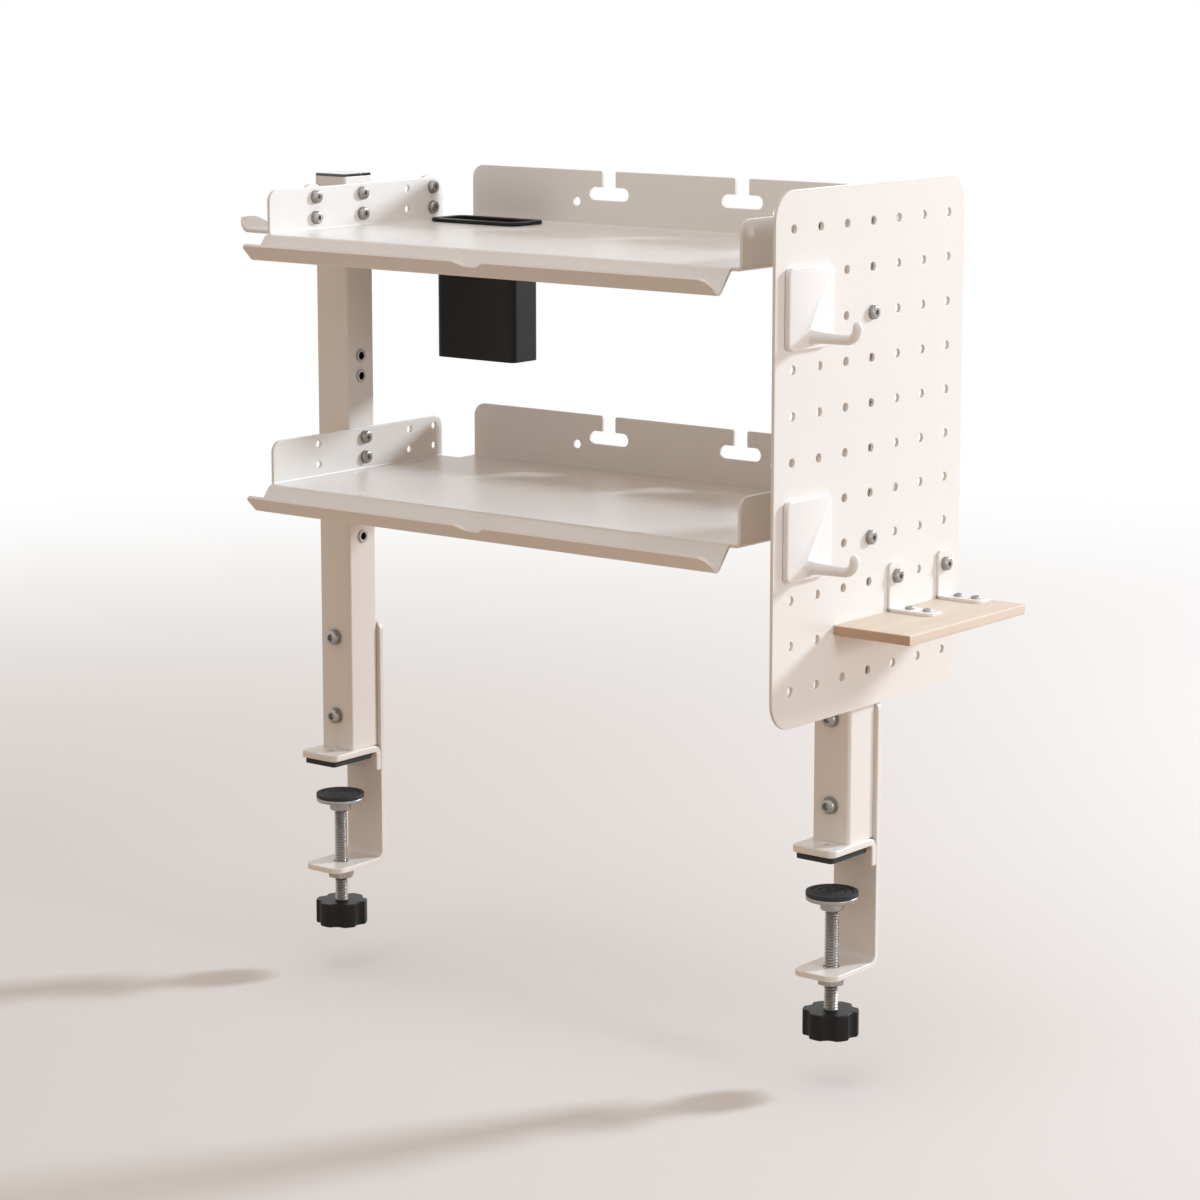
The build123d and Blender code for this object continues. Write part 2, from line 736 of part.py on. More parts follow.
# Pegboard and its fixing screws
board_height = (peg_rows - 1) * peg_pitch + 2 * peg_end_margin
board_width = (peg_columns - 1) * peg_pitch + 2 * peg_side_margin
board_middle = peg_top_row + peg_end_margin - board_height / 2
with BuildPart() as pegboard:
    with BuildSketch(Plane.YZ.offset(peg_back)):
        with Locations((0, board_middle)):
            RectangleRounded(board_width, board_height, peg_corner)
            with GridLocations(peg_pitch, peg_pitch, peg_columns, peg_rows):
                Circle(peg_hole / 2, mode=Mode.SUBTRACT)
    extrude(amount=peg_sheet)
save(pegboard, "pegboard")
peg_heights = [peg_row(row) for row in peg_screw_rows]
peg_rivets = [facing((outer_face, 0, z), (1, 0, 0)) for z in peg_heights]
save_group(rivet_nut(), peg_rivets, "pegboard_rivet_nuts")
save_group(shelf_washer, [facing((peg_face, 0, z), (1, 0, 0)) for z in peg_heights], "pegboard_washers")
peg_heads = [facing((peg_face + washer_thickness, 0, z), (1, 0, 0)) for z in peg_heights]
save_group(shelf_screw, peg_heads, "pegboard_screws")

# Hooks plugged into the pegboard
save(peg_hook(holder_high_row), "upper_peg_hook")
save(peg_hook(holder_low_row), "lower_peg_hook")

# Wooden ledge on two angle brackets
angle_z = peg_row(angle_row)
angle_ys = [peg_column(column) for column in angle_columns]
ledge_top = angle_z - angle_drop
wood_xs = [peg_face + wood_screw_first + step * wood_screw_step for step in range(wood_screw_count)]
wood_depth = ledge_thickness - wood_screw_cover
ledge_near = min(angle_ys) - ledge_near_margin
ledge_far = max(angle_ys) + ledge_far_margin
with BuildPart() as ledge:
    with BuildSketch(Plane.XY.offset(ledge_top)):
        with Locations((peg_face + ledge_depth / 2, (ledge_near + ledge_far) / 2)):
            Rectangle(ledge_depth, ledge_far - ledge_near)
    extrude(amount=-ledge_thickness)
    fillet(ledge.edges(), ledge_edge)
    with BuildSketch(Plane.XY.offset(ledge_top)):
        with Locations(*[(x, y) for x in wood_xs for y in angle_ys]):
            Circle(wood_screw / 2 + thread_gap)
    extrude(amount=-wood_depth, mode=Mode.SUBTRACT)
save(ledge, "peg_ledge")

for name, y in zip(("near", "far"), angle_ys):
    with BuildPart() as angle:
        with BuildSketch(Plane.XZ.offset(angle_width / 2 - y)):
            with BuildLine():
                FilletPolyline(
                    (peg_face, angle_z + angle_margin),
                    (peg_face, ledge_top),
                    (wood_xs[-1] + wood_screw_margin, ledge_top),
                    radius=angle_bend + angle_thickness,
                )
                offset(amount=angle_thickness, side=Side.LEFT)
            make_face()
        extrude(amount=-angle_width)
        fillet(angle.edges().filter_by(Axis.X).group_by(Axis.Z)[-1], angle_corner)
        fillet(angle.edges().filter_by(Axis.Z).group_by(Axis.X)[-1], angle_corner)
        with BuildSketch(Plane.YZ.offset(peg_face)):
            with Locations((y, angle_z)):
                Circle(flange_hole / 2)
        extrude(amount=angle_thickness, mode=Mode.SUBTRACT)
        with BuildSketch(Plane.XY.offset(ledge_top)):
            with Locations(*[(x, y) for x in wood_xs]):
                Circle(wood_screw / 2 + thread_gap)
        extrude(amount=angle_thickness, mode=Mode.SUBTRACT)
    save(angle, f"{name}_ledge_bracket")

angle_face = peg_face + angle_thickness
angle_washers = [facing((angle_face, y, angle_z), (1, 0, 0)) for y in angle_ys]
angle_heads = [facing((angle_face + washer_thickness, y, angle_z), (1, 0, 0)) for y in angle_ys]
angle_nuts = [facing((peg_back, y, angle_z), (-1, 0, 0)) for y in angle_ys]
save_group(shelf_washer, angle_washers, "ledge_washers")
save_group(shelf_screw, angle_heads, "ledge_bolts")
save_group(shelf_nut, angle_nuts, "ledge_nuts")
with BuildPart() as pan_screw:
    with BuildSketch():
        Circle(wood_screw / 2 + wood_screw_rim)
    extrude(amount=wood_screw_head_height)
    fillet(pan_screw.edges().group_by(Axis.Z)[-1], wood_screw_head_height * head_round_share)
    with BuildSketch():
        Circle(wood_screw / 2)
    extrude(amount=-angle_thickness - wood_depth)
wood_places = [facing((x, y, ledge_top + angle_thickness), (0, 0, 1)) for x in wood_xs for y in angle_ys]
save_group(pan_screw.part, wood_places, "ledge_wood_screws")
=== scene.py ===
import json
import math

import bmesh
import bpy
from mathutils import Matrix, Vector


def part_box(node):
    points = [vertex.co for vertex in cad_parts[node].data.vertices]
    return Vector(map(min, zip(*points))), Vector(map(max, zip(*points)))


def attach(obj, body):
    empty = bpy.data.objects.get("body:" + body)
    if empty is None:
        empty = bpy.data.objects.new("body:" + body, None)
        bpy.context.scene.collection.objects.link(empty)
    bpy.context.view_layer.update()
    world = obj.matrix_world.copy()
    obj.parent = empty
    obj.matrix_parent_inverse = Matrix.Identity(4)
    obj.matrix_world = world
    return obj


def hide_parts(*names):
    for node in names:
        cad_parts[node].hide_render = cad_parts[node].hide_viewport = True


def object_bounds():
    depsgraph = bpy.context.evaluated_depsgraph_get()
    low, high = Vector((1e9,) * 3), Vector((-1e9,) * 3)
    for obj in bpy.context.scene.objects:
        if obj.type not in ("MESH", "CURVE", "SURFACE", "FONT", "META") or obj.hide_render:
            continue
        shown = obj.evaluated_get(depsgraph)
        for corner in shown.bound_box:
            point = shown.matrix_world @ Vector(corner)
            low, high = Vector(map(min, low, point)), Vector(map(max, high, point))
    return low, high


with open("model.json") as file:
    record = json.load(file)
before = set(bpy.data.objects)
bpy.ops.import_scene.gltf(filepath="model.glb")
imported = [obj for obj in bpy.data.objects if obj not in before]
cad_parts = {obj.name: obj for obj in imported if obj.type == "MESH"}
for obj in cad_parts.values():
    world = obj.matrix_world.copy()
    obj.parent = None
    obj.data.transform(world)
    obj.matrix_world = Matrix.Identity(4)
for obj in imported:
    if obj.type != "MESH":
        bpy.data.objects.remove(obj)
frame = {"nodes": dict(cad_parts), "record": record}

mm = 0.001
cadLow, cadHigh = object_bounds()
bodyOf = {node: body for body, nodes in frame["record"]["behaviour"]["bodies"].items() for node in nodes}
left, right, back, front, up, down = (
    Vector(way) for way in ((-1, 0, 0), (1, 0, 0), (0, 1, 0), (0, -1, 0), (0, 0, 1), (0, 0, -1))
)
print("frame loaded,", len(frame["nodes"]), "nodes")


# Shader maths as plain sums
class Wire:
    def __init__(self, paint, socket):
        self.paint = paint
        self.socket = socket

    def maths(self, operation, first, second):
        return self.paint.node("ShaderNodeMath", {"operation": operation}, {0: first, 1: second})

    def __add__(self, other):
        return self.maths("ADD", self, other)

    def __sub__(self, other):
        return self.maths("SUBTRACT", self, other)

    def __rsub__(self, other):
        return self.maths("SUBTRACT", other, self)

    def __mul__(self, other):
        return self.maths("MULTIPLY", self, other)

    def __pow__(self, other):
        return self.maths("POWER", self, other)

    __radd__ = __add__
    __rmul__ = __mul__


class Paint:
    def __init__(self, holder):
        holder.use_nodes = True
        self.holder = holder
        self.tree = holder.node_tree

    def node(self, kind, settings={}, sockets={}, output=0):
        made = self.tree.nodes.new(kind)
        for name, value in settings.items():
            if name == "stops":
                self.fillRamp(made.color_ramp, value)
            else:
                setattr(made, name, value)
        for name, value in sockets.items():
            self.plug(made.inputs[name], value)
        return Wire(self, made.outputs[output])

    def fillRamp(self, ramp, stops):
        while len(ramp.elements) < len(stops):
            ramp.elements.new(1.0)
        for element, (place, colour) in zip(ramp.elements, stops):
            element.position = place
            element.color = colour

    def plug(self, socket, value):
        if isinstance(value, Wire):
            self.tree.links.new(value.socket, socket)
        else:
            socket.default_value = value

    def mix(self, factor, first, second):
        sockets = {0: factor, 6: first, 7: second}
        return self.node("ShaderNodeMix", {"data_type": "RGBA"}, sockets, 2)

    def place(self, stretch=(1, 1, 1)):
        spot = self.node("ShaderNodeTexCoord", output="Object")
        return self.node("ShaderNodeMapping", {}, {"Vector": spot, "Scale": stretch})

    def noise(self, spot, scale, detail=2.0, roughness=0.5):
        sockets = {"Vector": spot, "Scale": scale, "Detail": detail, "Roughness": roughness}
        return self.node("ShaderNodeTexNoise", {}, sockets)

    def bump(self, height, strength, distance):
        sockets = {"Height": height, "Strength": strength, "Distance": distance}
        return self.node("ShaderNodeBump", {}, sockets)

    def finish(self, **values):
        shader = self.tree.nodes["Principled BSDF"]
        for name, value in values.items():
            self.plug(shader.inputs[name.replace("_", " ")], value)
        return self.holder


def newPaint(name):
    return Paint(bpy.data.materials.new(name))


# Finishes
powderLook = {
    "pale": (0.875, 0.852, 0.820, 1),
    "deep": (0.845, 0.818, 0.782, 1),
    "drift": 7.0,
    "peel": 620.0,
    "sand": 2100.0,
    "roughness": 0.25,
}


def powderCoat():
    paint = newPaint("ivoryPowderCoat")
    spot = paint.place()
    drift = paint.noise(spot, powderLook["drift"])
    peel = paint.noise(spot, powderLook["peel"], 1.0)
    sand = paint.noise(spot, powderLook["sand"], 3.0, 0.65)
    speck = paint.node("ShaderNodeMapRange", {}, {"Value": sand, "From Min": 0.36, "From Max": 0.64})
    tone = drift * 0.6 + speck * 0.4
    return paint.finish(
        Base_Color=paint.mix(tone, powderLook["deep"], powderLook["pale"]),
        Roughness=powderLook["roughness"] + speck * 0.10,
        Normal=paint.bump(peel * 0.55 + speck * 0.45, 0.22, 0.00016),
    )


zincLook = {
    "pale": (0.43, 0.395, 0.365, 1),
    "deep": (0.29, 0.262, 0.238, 1),
    "cloud": 190.0,
    "turn": 2600.0,
}


def zincSteel():
    paint = newPaint("brightZinc")
    spot = paint.place()
    cloud = paint.noise(spot, zincLook["cloud"], 3.0)
    turned = paint.noise(spot, zincLook["turn"], 1.0)
    return paint.finish(
        Base_Color=paint.mix(cloud, zincLook["deep"], zincLook["pale"]),
        Metallic=1.0,
        Roughness=0.27 + cloud * 0.16,
        Normal=paint.bump(turned, 0.10, 0.00005),
    )


blackLook = {
    "pale": (0.012, 0.0115, 0.011, 1),
    "deep": (0.007, 0.0068, 0.0065, 1),
    "grain": 1700.0,
    "drift": 25.0,
}


def blackPlastic():
    paint = newPaint("blackMoulding")
    spot = paint.place()
    grain = paint.noise(spot, blackLook["grain"], 2.0)
    drift = paint.noise(spot, blackLook["drift"])
    return paint.finish(
        Base_Color=paint.mix(drift, blackLook["deep"], blackLook["pale"]),
        Roughness=0.34 + grain * 0.16,
        Specular_IOR_Level=0.22,
        Normal=paint.bump(grain, 0.16, 0.00010),
    )


glossLook = {"tone": (0.010, 0.0098, 0.0095, 1), "scuff": 140.0}


def glossBlack():
    paint = newPaint("glossBlackMoulding")
    scuff = paint.noise(paint.place(), glossLook["scuff"], 3.0)
    return paint.finish(
        Base_Color=glossLook["tone"],
        Roughness=0.05 + scuff * 0.08,
        Coat_Weight=1.0,
        Coat_Roughness=0.04,
        Normal=paint.bump(scuff, 0.04, 0.00008),
    )


whiteLook = {
    "pale": (0.91, 0.905, 0.895, 1),
    "deep": (0.88, 0.872, 0.86, 1),
    "grain": 1300.0,
    "drift": 30.0,
}


def whitePlastic():
    paint = newPaint("whiteMoulding")
    spot = paint.place()
    grain = paint.noise(spot, whiteLook["grain"], 2.0)
    drift = paint.noise(spot, whiteLook["drift"])
    return paint.finish(
        Base_Color=paint.mix(drift, whiteLook["deep"], whiteLook["pale"]),
        Roughness=0.30 + grain * 0.12,
        Normal=paint.bump(grain, 0.10, 0.00008),
    )


rubberLook = {"pale": (0.032, 0.031, 0.030, 1), "deep": (0.016, 0.016, 0.016, 1), "grain": 900.0}


def blackRubber():
    paint = newPaint("blackRubber")
    grain = paint.noise(paint.place(), rubberLook["grain"], 4.0, 0.6)
    return paint.finish(
        Base_Color=paint.mix(grain, rubberLook["deep"], rubberLook["pale"]),
        Roughness=0.66 + grain * 0.2,
        Normal=paint.bump(grain, 0.35, 0.00018),
    )


woodLook = {
    "pale": (0.80, 0.675, 0.555, 1),
    "mid": (0.715, 0.585, 0.465, 1),
    "deep": (0.56, 0.43, 0.31, 1),
    "end": (0.55, 0.37, 0.25, 1),  # end grain
    "board": (34, 3.0, 60),  # stretch of the growth rings: the grain runs along the ledge
    "fibre": (900, 22, 900),
}


def paleWood():
    paint = newPaint("paleBeech")
    sway = paint.noise(paint.place((9, 5, 9)), 1.0, 2.0)
    rings = paint.noise(paint.place(woodLook["board"]), 1.0, 3.0, 0.55)
    fibre = paint.noise(paint.place(woodLook["fibre"]), 1.0, 3.0, 0.6)
    grown = rings * 0.8 + sway * 0.2
    figure = paint.node("ShaderNodeMapRange", {}, {"Value": grown, "From Min": 0.34, "From Max": 0.66})
    facing = paint.node("ShaderNodeNewGeometry", output="Normal")
    lengthwise = paint.node("ShaderNodeSeparateXYZ", {}, {0: facing}, "Y")
    cutAcross = lengthwise * lengthwise
    side = paint.mix(figure, woodLook["mid"], woodLook["pale"])
    body = paint.mix(cutAcross, side, woodLook["end"])
    pores = paint.node("ShaderNodeMapRange", {}, {"Value": fibre, "From Min": 0.58, "From Max": 0.78})
    return paint.finish(
        Base_Color=paint.mix(pores * 0.55, body, woodLook["deep"]),
        Roughness=0.46 + fibre * 0.16,
        Normal=paint.bump(fibre, 0.25, 0.00012),
    )


finishes = {
    "ivory_steel": powderCoat(),
    "zinc_steel": zincSteel(),
    "black_plastic": blackPlastic(),
    "white_plastic": whitePlastic(),
    "black_rubber": blackRubber(),
    "pale_wood": paleWood(),
}
capFinish = glossBlack()
slotOf = {part["node"]: part["material_slot"] for part in frame["record"]["subparts"]}
for name, node in frame["nodes"].items():
    node.data.materials.clear()
    node.data.materials.append(finishes[slotOf[name]])
    node.data.polygons.foreach_set("material_index", [0] * len(node.data.polygons))
print("finishes made,", len(finishes))


# Floor, light and camera
stageLook = {
    "drop": 0.036,  # below the knobs, room for the clamps to open
    "size": 30.0,
    "pale": (0.80, 0.775, 0.75, 1),
    "white": (1, 1, 1, 1),
    "near": 0.55,
    "far": 2.6,
    "sky": (0.525, 0.442, 0.377, 1),
    "bounce": (0.52, 0.375, 0.265, 1),  # floor as the shelf's undersides see it
}


def backgroundRay(paint):
    path = paint.node("ShaderNodeLightPath", output="Is Camera Ray")
    rays = path.socket.node.outputs
    seen = path.maths("MAXIMUM", path, Wire(paint, rays["Is Glossy Ray"]))
    return path.maths("MAXIMUM", seen, Wire(paint, rays["Is Transmission Ray"]))


def layFloor():
    bpy.ops.object.select_all(action="DESELECT")
    bpy.ops.mesh.primitive_plane_add(size=stageLook["size"])
    floor = bpy.context.object
    floor.name = "studioFloor"
    floor.data.transform(floor.matrix_world.Translation(down * (stageLook["drop"] - cadLow.z)))
    paint = newPaint("paleFloor")
    spot = paint.node("ShaderNodeTexCoord", output="Object")
    reach = paint.node("ShaderNodeVectorMath", {"operation": "LENGTH"}, {0: spot}, "Value")
    limits = {"Value": reach, "From Min": stageLook["near"], "From Max": stageLook["far"]}
    fade = paint.node("ShaderNodeMapRange", {"interpolation_type": "SMOOTHSTEP"}, limits)
    tone = paint.mix(backgroundRay(paint), stageLook["bounce"], stageLook["pale"])
    paint.finish(Base_Color=tone, Roughness=0.9, Specular_IOR_Level=0.1)
    white = paint.node("ShaderNodeEmission", {}, {"Color": stageLook["white"], "Strength": 1.0})
    solid = Wire(paint, paint.tree.nodes["Principled BSDF"].outputs[0])
    shown = paint.node("ShaderNodeMixShader", {}, {0: fade * backgroundRay(paint), 1: solid, 2: white})
    paint.plug(paint.tree.nodes["Material Output"].inputs["Surface"], shown)
    floor.data.materials.append(paint.holder)


def lightSky():
    world = bpy.data.worlds.new("studioSky")
    bpy.context.scene.world = world
    paint = Paint(world)
    shade = paint.node("ShaderNodeBackground", {}, {"Color": stageLook["sky"], "Strength": 1.0})
    white = paint.node("ShaderNodeBackground", {}, {"Color": stageLook["white"], "Strength": 1.0})
    shown = paint.node("ShaderNodeMixShader", {}, {0: backgroundRay(paint), 1: shade, 2: white})
    paint.plug(paint.tree.nodes["World Output"].inputs["Surface"], shown)


dayWhite = (0.80, 0.895, 1)  # cool light, warm shade
lamps = {
    "windowKey": {"from": (0.46, 0.80, 0.36), "distance": 3.0, "size": 0.42, "power": 78},
    "topWash": {"from": (0.10, -0.30, 0.95), "distance": 2.6, "size": 1.6, "power": 12},
    "sideFill": {"from": (0.98, -0.06, 0.18), "distance": 3.0, "size": 0.5, "power": 19},
}
lampTarget = (cadLow + cadHigh) / 2


def hangLamp(name, lamp):
    bpy.ops.object.light_add(type="AREA")
    light = bpy.context.object
    light.name = name
    light.data.size = lamp["size"]
    light.data.energy = lamp["power"]
    light.data.color = dayWhite
    way = Vector(lamp["from"]).normalized()
    light.location = lampTarget + way * lamp["distance"]
    light.rotation_euler = way.to_track_quat("Z", "Y").to_euler()


cameraSet = {
    "place": (1.5452, -1.9352, 0.6137),
    "azimuth": 38.33,
    "elevation": 10.14,
    "lens": 106.53,
    "shift": -0.0275,
}


def setCamera():
    bpy.ops.object.camera_add(location=cameraSet["place"])
    camera = bpy.context.object
    tilt = math.radians(90 - cameraSet["elevation"])
    camera.rotation_euler = (tilt, 0, math.radians(cameraSet["azimuth"]))
    camera.data.lens = cameraSet["lens"]
    camera.data.shift_y = cameraSet["shift"]
    camera.data.clip_end = 100
    bpy.context.scene.camera = camera


layFloor()
lightSky()
for name, lamp in lamps.items():
    hangLamp(name, lamp)
setCamera()
bpy.context.scene.view_settings.view_transform = "Standard"
print("stage set")


# Modelling by hand: a start shape, then edit mode, then modifiers
def toObject():
    if bpy.context.mode != "OBJECT":
        bpy.ops.object.mode_set(mode="OBJECT")
    bpy.ops.object.select_all(action="DESELECT")


def take(obj):
    toObject()
    obj.select_set(True)
    bpy.context.view_layer.objects.active = obj


def edit(obj):
    take(obj)
    bpy.ops.object.mode_set(mode="EDIT")


def block(low, high, turn=(0, 0, 0)):
    toObject()
    low, high = Vector(low), Vector(high)
    bpy.ops.mesh.primitive_cube_add(size=1, location=(low + high) / 2, rotation=turn)
    bpy.context.object.scale = high - low
    bpy.ops.object.transform_apply()
    return bpy.context.object


def rod(start, end, radius, sides=32):
    toObject()
    start, end = Vector(start), Vector(end)
    run = end - start
    turn = run.to_track_quat("Z", "Y").to_euler()
    bpy.ops.mesh.primitive_cylinder_add(
        vertices=sides, radius=radius, depth=run.length, location=(start + end) / 2, rotation=turn
    )
    bpy.ops.object.transform_apply()
    return bpy.context.object


rodReach = 10 * mm  # cutters run past by this


def near(first, second, within=0.02 * mm):
    return abs(first - second) < within


def along(way, axis):
    return abs(way.dot(axis)) > 0.999


def choose(kind, test):
    bpy.ops.mesh.select_mode(type=kind)
    bpy.ops.mesh.select_all(action="DESELECT")
    mesh = bmesh.from_edit_mesh(bpy.context.object.data)
    if kind == "VERT":
        found = [(corner, corner.co, corner.normal) for corner in mesh.verts]
    elif kind == "EDGE":
        ends = [(edge, edge.verts[0].co, edge.verts[1].co) for edge in mesh.edges]
        found = [(edge, (a + b) / 2, (b - a).normalized()) for edge, a, b in ends]
    else:
        found = [(face, face.calc_center_median(), face.normal) for face in mesh.faces]
    for part, middle, way in found:
        if test(middle, way):
            part.select_set(True)
    mesh.select_flush_mode()
    bmesh.update_edit_mesh(bpy.context.object.data)


def extrude(move):
    bpy.ops.mesh.extrude_region_move(TRANSFORM_OT_translate={"value": move})


def bevel(offset, segments, affect="EDGES"):
    bpy.ops.mesh.bevel(offset=offset, segments=segments, affect=affect, clamp_overlap=False)


def modify(obj, kind, **settings):
    take(obj)
    step = obj.modifiers.new(kind.lower(), kind)
    for name, value in settings.items():
        setattr(step, name, value)
    bpy.ops.object.modifier_apply(modifier=step.name)
    return obj


def combine(obj, operation, tools):
    for tool in tools:
        modify(obj, "BOOLEAN", object=tool, operation=operation, solver="EXACT")
        bpy.data.objects.remove(tool)
    return obj


def carve(obj, *tools):
    return combine(obj, "DIFFERENCE", tools)


def weld(obj, *tools):
    return combine(obj, "UNION", tools)


def smooth(obj, limit=38):
    take(obj)
    bpy.ops.object.shade_smooth_by_angle(angle=math.radians(limit))
    return modify(obj, "WEIGHTED_NORMAL", keep_sharp=True)


meshLimits = {"doubles": 0.05 * mm, "flat": math.radians(0.5)}


def cleanUp(obj):
    edit(obj)
    bpy.ops.mesh.select_all(action="SELECT")
    bpy.ops.mesh.remove_doubles(threshold=meshLimits["doubles"])
    bpy.ops.mesh.dissolve_limited(angle_limit=meshLimits["flat"])


# Flat sides with holes are filled anew between their rounded rims
def refillFlats(obj):
    edit(obj)
    mesh = bmesh.from_edit_mesh(obj.data)
    flats = [face for face in mesh.faces if len(face.verts) > 4]
    sides = [(face.normal.copy(), face.calc_center_median().dot(face.normal)) for face in flats]
    for facing, offset in sides:
        choose("FACE", lambda spot, way: way.dot(facing) > 0.99999 and near(spot.dot(facing), offset))
        if not obj.data.total_face_sel:
            continue  # already refilled
        bpy.ops.mesh.delete(type="FACE")
        bpy.ops.mesh.select_mode(type="EDGE")
        bpy.ops.mesh.select_non_manifold(
            extend=False, use_wire=False, use_multi_face=False, use_non_contiguous=False, use_verts=False
        )
        bpy.ops.mesh.fill()
    bpy.ops.mesh.select_all(action="SELECT")
    bpy.ops.mesh.normals_make_consistent(inside=False)


def roundOff(obj, width, segments=2, limit=38, refill=False):
    cleanUp(obj)
    modify(
        obj, "BEVEL", width=width, segments=segments, limit_method="ANGLE", angle_limit=math.radians(limit),
        use_clamp_overlap=False,
    )
    if refill:
        refillFlats(obj)
    return smooth(obj, limit)


def roundBlock(low, high, corner, segments=8, axis=up):
    shape = block(low, high)
    edit(shape)
    choose("EDGE", lambda spot, way: along(way, axis))
    bevel(corner, segments)
    toObject()
    return shape


def settle(obj, name, *nodes, finish=None):
    toObject()
    slot = slotOf[nodes[0]]
    obj.name = name
    obj.data.name = name
    obj.data.materials.clear()
    obj.data.materials.append(finish or finishes[slot])
    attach(obj, bodyOf[nodes[0]])
    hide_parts(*nodes)
    return obj


# Boxes of a node's separate solids, sorted
def solidBoxes(node):
    mesh = bmesh.new()
    mesh.from_mesh(frame["nodes"][node].data)
    bmesh.ops.remove_doubles(mesh, verts=mesh.verts, dist=0.001 * mm)
    unseen = set(mesh.verts)
    boxes = []
    while unseen:
        rim = {unseen.pop()}
        island = set(rim)
        while rim:
            rim = {edge.other_vert(corner) for corner in rim for edge in corner.link_edges} - island
            island |= rim
        unseen -= island
        spots = [corner.co.copy() for corner in island]
        boxes.append((Vector(map(min, *spots)), Vector(map(max, *spots))))
    mesh.free()
    return sorted(boxes, key=lambda box: tuple(round(value, 6) for value in box[0]))


# A flat strip led along its points, folded and given its thickness
def foldStrip(points, halfWidth, radii, inside):
    toObject()
    points = [Vector(point) for point in points]
    bpy.ops.mesh.primitive_plane_add(size=1)
    strip = bpy.context.object
    edit(strip)
    choose("VERT", lambda spot, way: spot.y > 0)
    bpy.ops.mesh.delete(type="VERT")  # one edge is left
    mesh = bmesh.from_edit_mesh(strip.data)
    for corner in mesh.verts:
        corner.co = points[0] + halfWidth * (1 if corner.co.x > 0 else -1)
    bpy.ops.mesh.select_all(action="SELECT")
    for begin, end in zip(points, points[1:]):
        extrude(end - begin)
    across = halfWidth.normalized()
    for before, fold, after, radius in zip(points, points[1:], points[2:], radii):
        turn = (fold - before).angle(after - fold)
        choose("EDGE", lambda spot, way: along(way, across) and near((spot - fold).length, 0))
        bevel(radius * math.tan(turn / 2), 6)
    toObject()
    start = (points[0] + points[1]) / 2
    first = min(strip.data.polygons, key=lambda face: (face.center - start).length)
    return strip, 1 if first.normal.dot(inside) > 0 else -1


def thicken(strip, thickness, side):
    modify(
        strip, "SOLIDIFY", thickness=thickness, offset=side, use_even_offset=True, use_quality_normals=True
    )
    edit(strip)
    bpy.ops.mesh.select_all(action="SELECT")
    bpy.ops.mesh.normals_make_consistent(inside=False)
    toObject()
    return strip


def roundTips(strip, tips, radius, segments=6):
    edit(strip)
    choose("VERT", lambda spot, way: any(near((spot - Vector(tip)).length, 0) for tip in tips))
    bevel(radius, segments, "VERTICES")
    toObject()


# Trays
penForm = {
    "rim": 4.5 * mm,
    "rimThickness": 2.6 * mm,
    "wall": 2 * mm,
    "corner": 5 * mm,
    "floor": 2 * mm,
    "edge": 0.7 * mm,
}
trayForm = {
    "sheet": 2.5 * mm,
    "fold": 1.5 * mm,  # inside radius
    "rise": 40 * mm,
    "flange": 31 * mm,
    "flangeRear": 87 * mm,
    "flangeCorner": 8 * mm,
    "front": 100 * mm,
    "setback": 2 * mm,
    "gutter": Vector((0, -12.6 * mm, -15.8 * mm)),
    "gutterShort": 8 * mm,  # right end, from the flange
    "lip": Vector((0, -11 * mm, 11 * mm)),
    "lipTips": (3.5 * mm, 9 * mm),
    "lipBend": 2 * mm,
    "overlap": 1 * mm,  # of gutter and floor, for the weld
    "rearInset": 19 * mm,
    "rearCorner": 10 * mm,
    "columns": (-50 * mm, 0, 50 * mm, 78 * mm),
    "rows": (9 * mm, 24 * mm),
    "hole": 2.75 * mm,
    "rearHole": (90 * mm, 17 * mm, 3.25 * mm),  # across, up, radius
    "slot": (60 * mm, 23.4 * mm),
    "slotHalf": (18 * mm, 4.8 * mm),
    "neck": 6 * mm,
    "neckRound": 1.2 * mm,
    "notch": {"top": 12 * mm, "bottom": 6 * mm, "depth": 5 * mm, "rounding": 3.4 * mm},  # half widths
    "penGap": 0.6 * mm,
    "penCorner": 5.6 * mm,
    "edge": 0.45 * mm,
}


def foldFloor(high, level):  # floor, end flanges and rear upright
    form = trayForm
    wall = high.x - form["sheet"]
    frontEdge, rearEdge = form["setback"] - form["front"], form["flangeRear"]
    rearFace, rearHalf = high.y - form["sheet"], high.x - form["rearInset"]
    toObject()
    bpy.ops.mesh.primitive_plane_add(size=1, location=(0, (frontEdge + rearEdge) / 2, level))
    tray = bpy.context.object
    tray.scale = (2 * wall, rearEdge - frontEdge, 1)
    bpy.ops.object.transform_apply()
    edit(tray)
    for side in (-wall, wall):
        choose("EDGE", lambda spot, way: near(spot.x, side))
        extrude(up * form["flange"])
    choose("EDGE", lambda spot, way: near(abs(spot.x), wall) and near(spot.z, level) and along(way, back))
    bevel(form["fold"], 4)
    for cut in (-rearHalf, rearHalf):
        bpy.ops.mesh.select_all(action="SELECT")
        bpy.ops.mesh.bisect(plane_co=(cut, 0, 0), plane_no=right)
    choose("EDGE", lambda spot, way: along(way, right) and near(spot.y, rearEdge) and abs(spot.x) < rearHalf)
    extrude(back * (rearFace - rearEdge))
    extrude(up * form["rise"])
    choose("EDGE", lambda spot, way: along(way, right) and near(spot.y, rearFace) and near(spot.z, level))
    bevel(form["fold"], 4)
    flangeTop = level + form["flange"]
    flangeTips = [(x, y, flangeTop) for x in (-wall, wall) for y in (frontEdge, rearEdge)]
    rearTips = [(x, rearFace, high.z) for x in (-rearHalf, rearHalf)]
    roundTips(tray, flangeTips, form["flangeCorner"])
    roundTips(tray, rearTips, form["rearCorner"], 8)
    return thicken(tray, form["sheet"], -1)


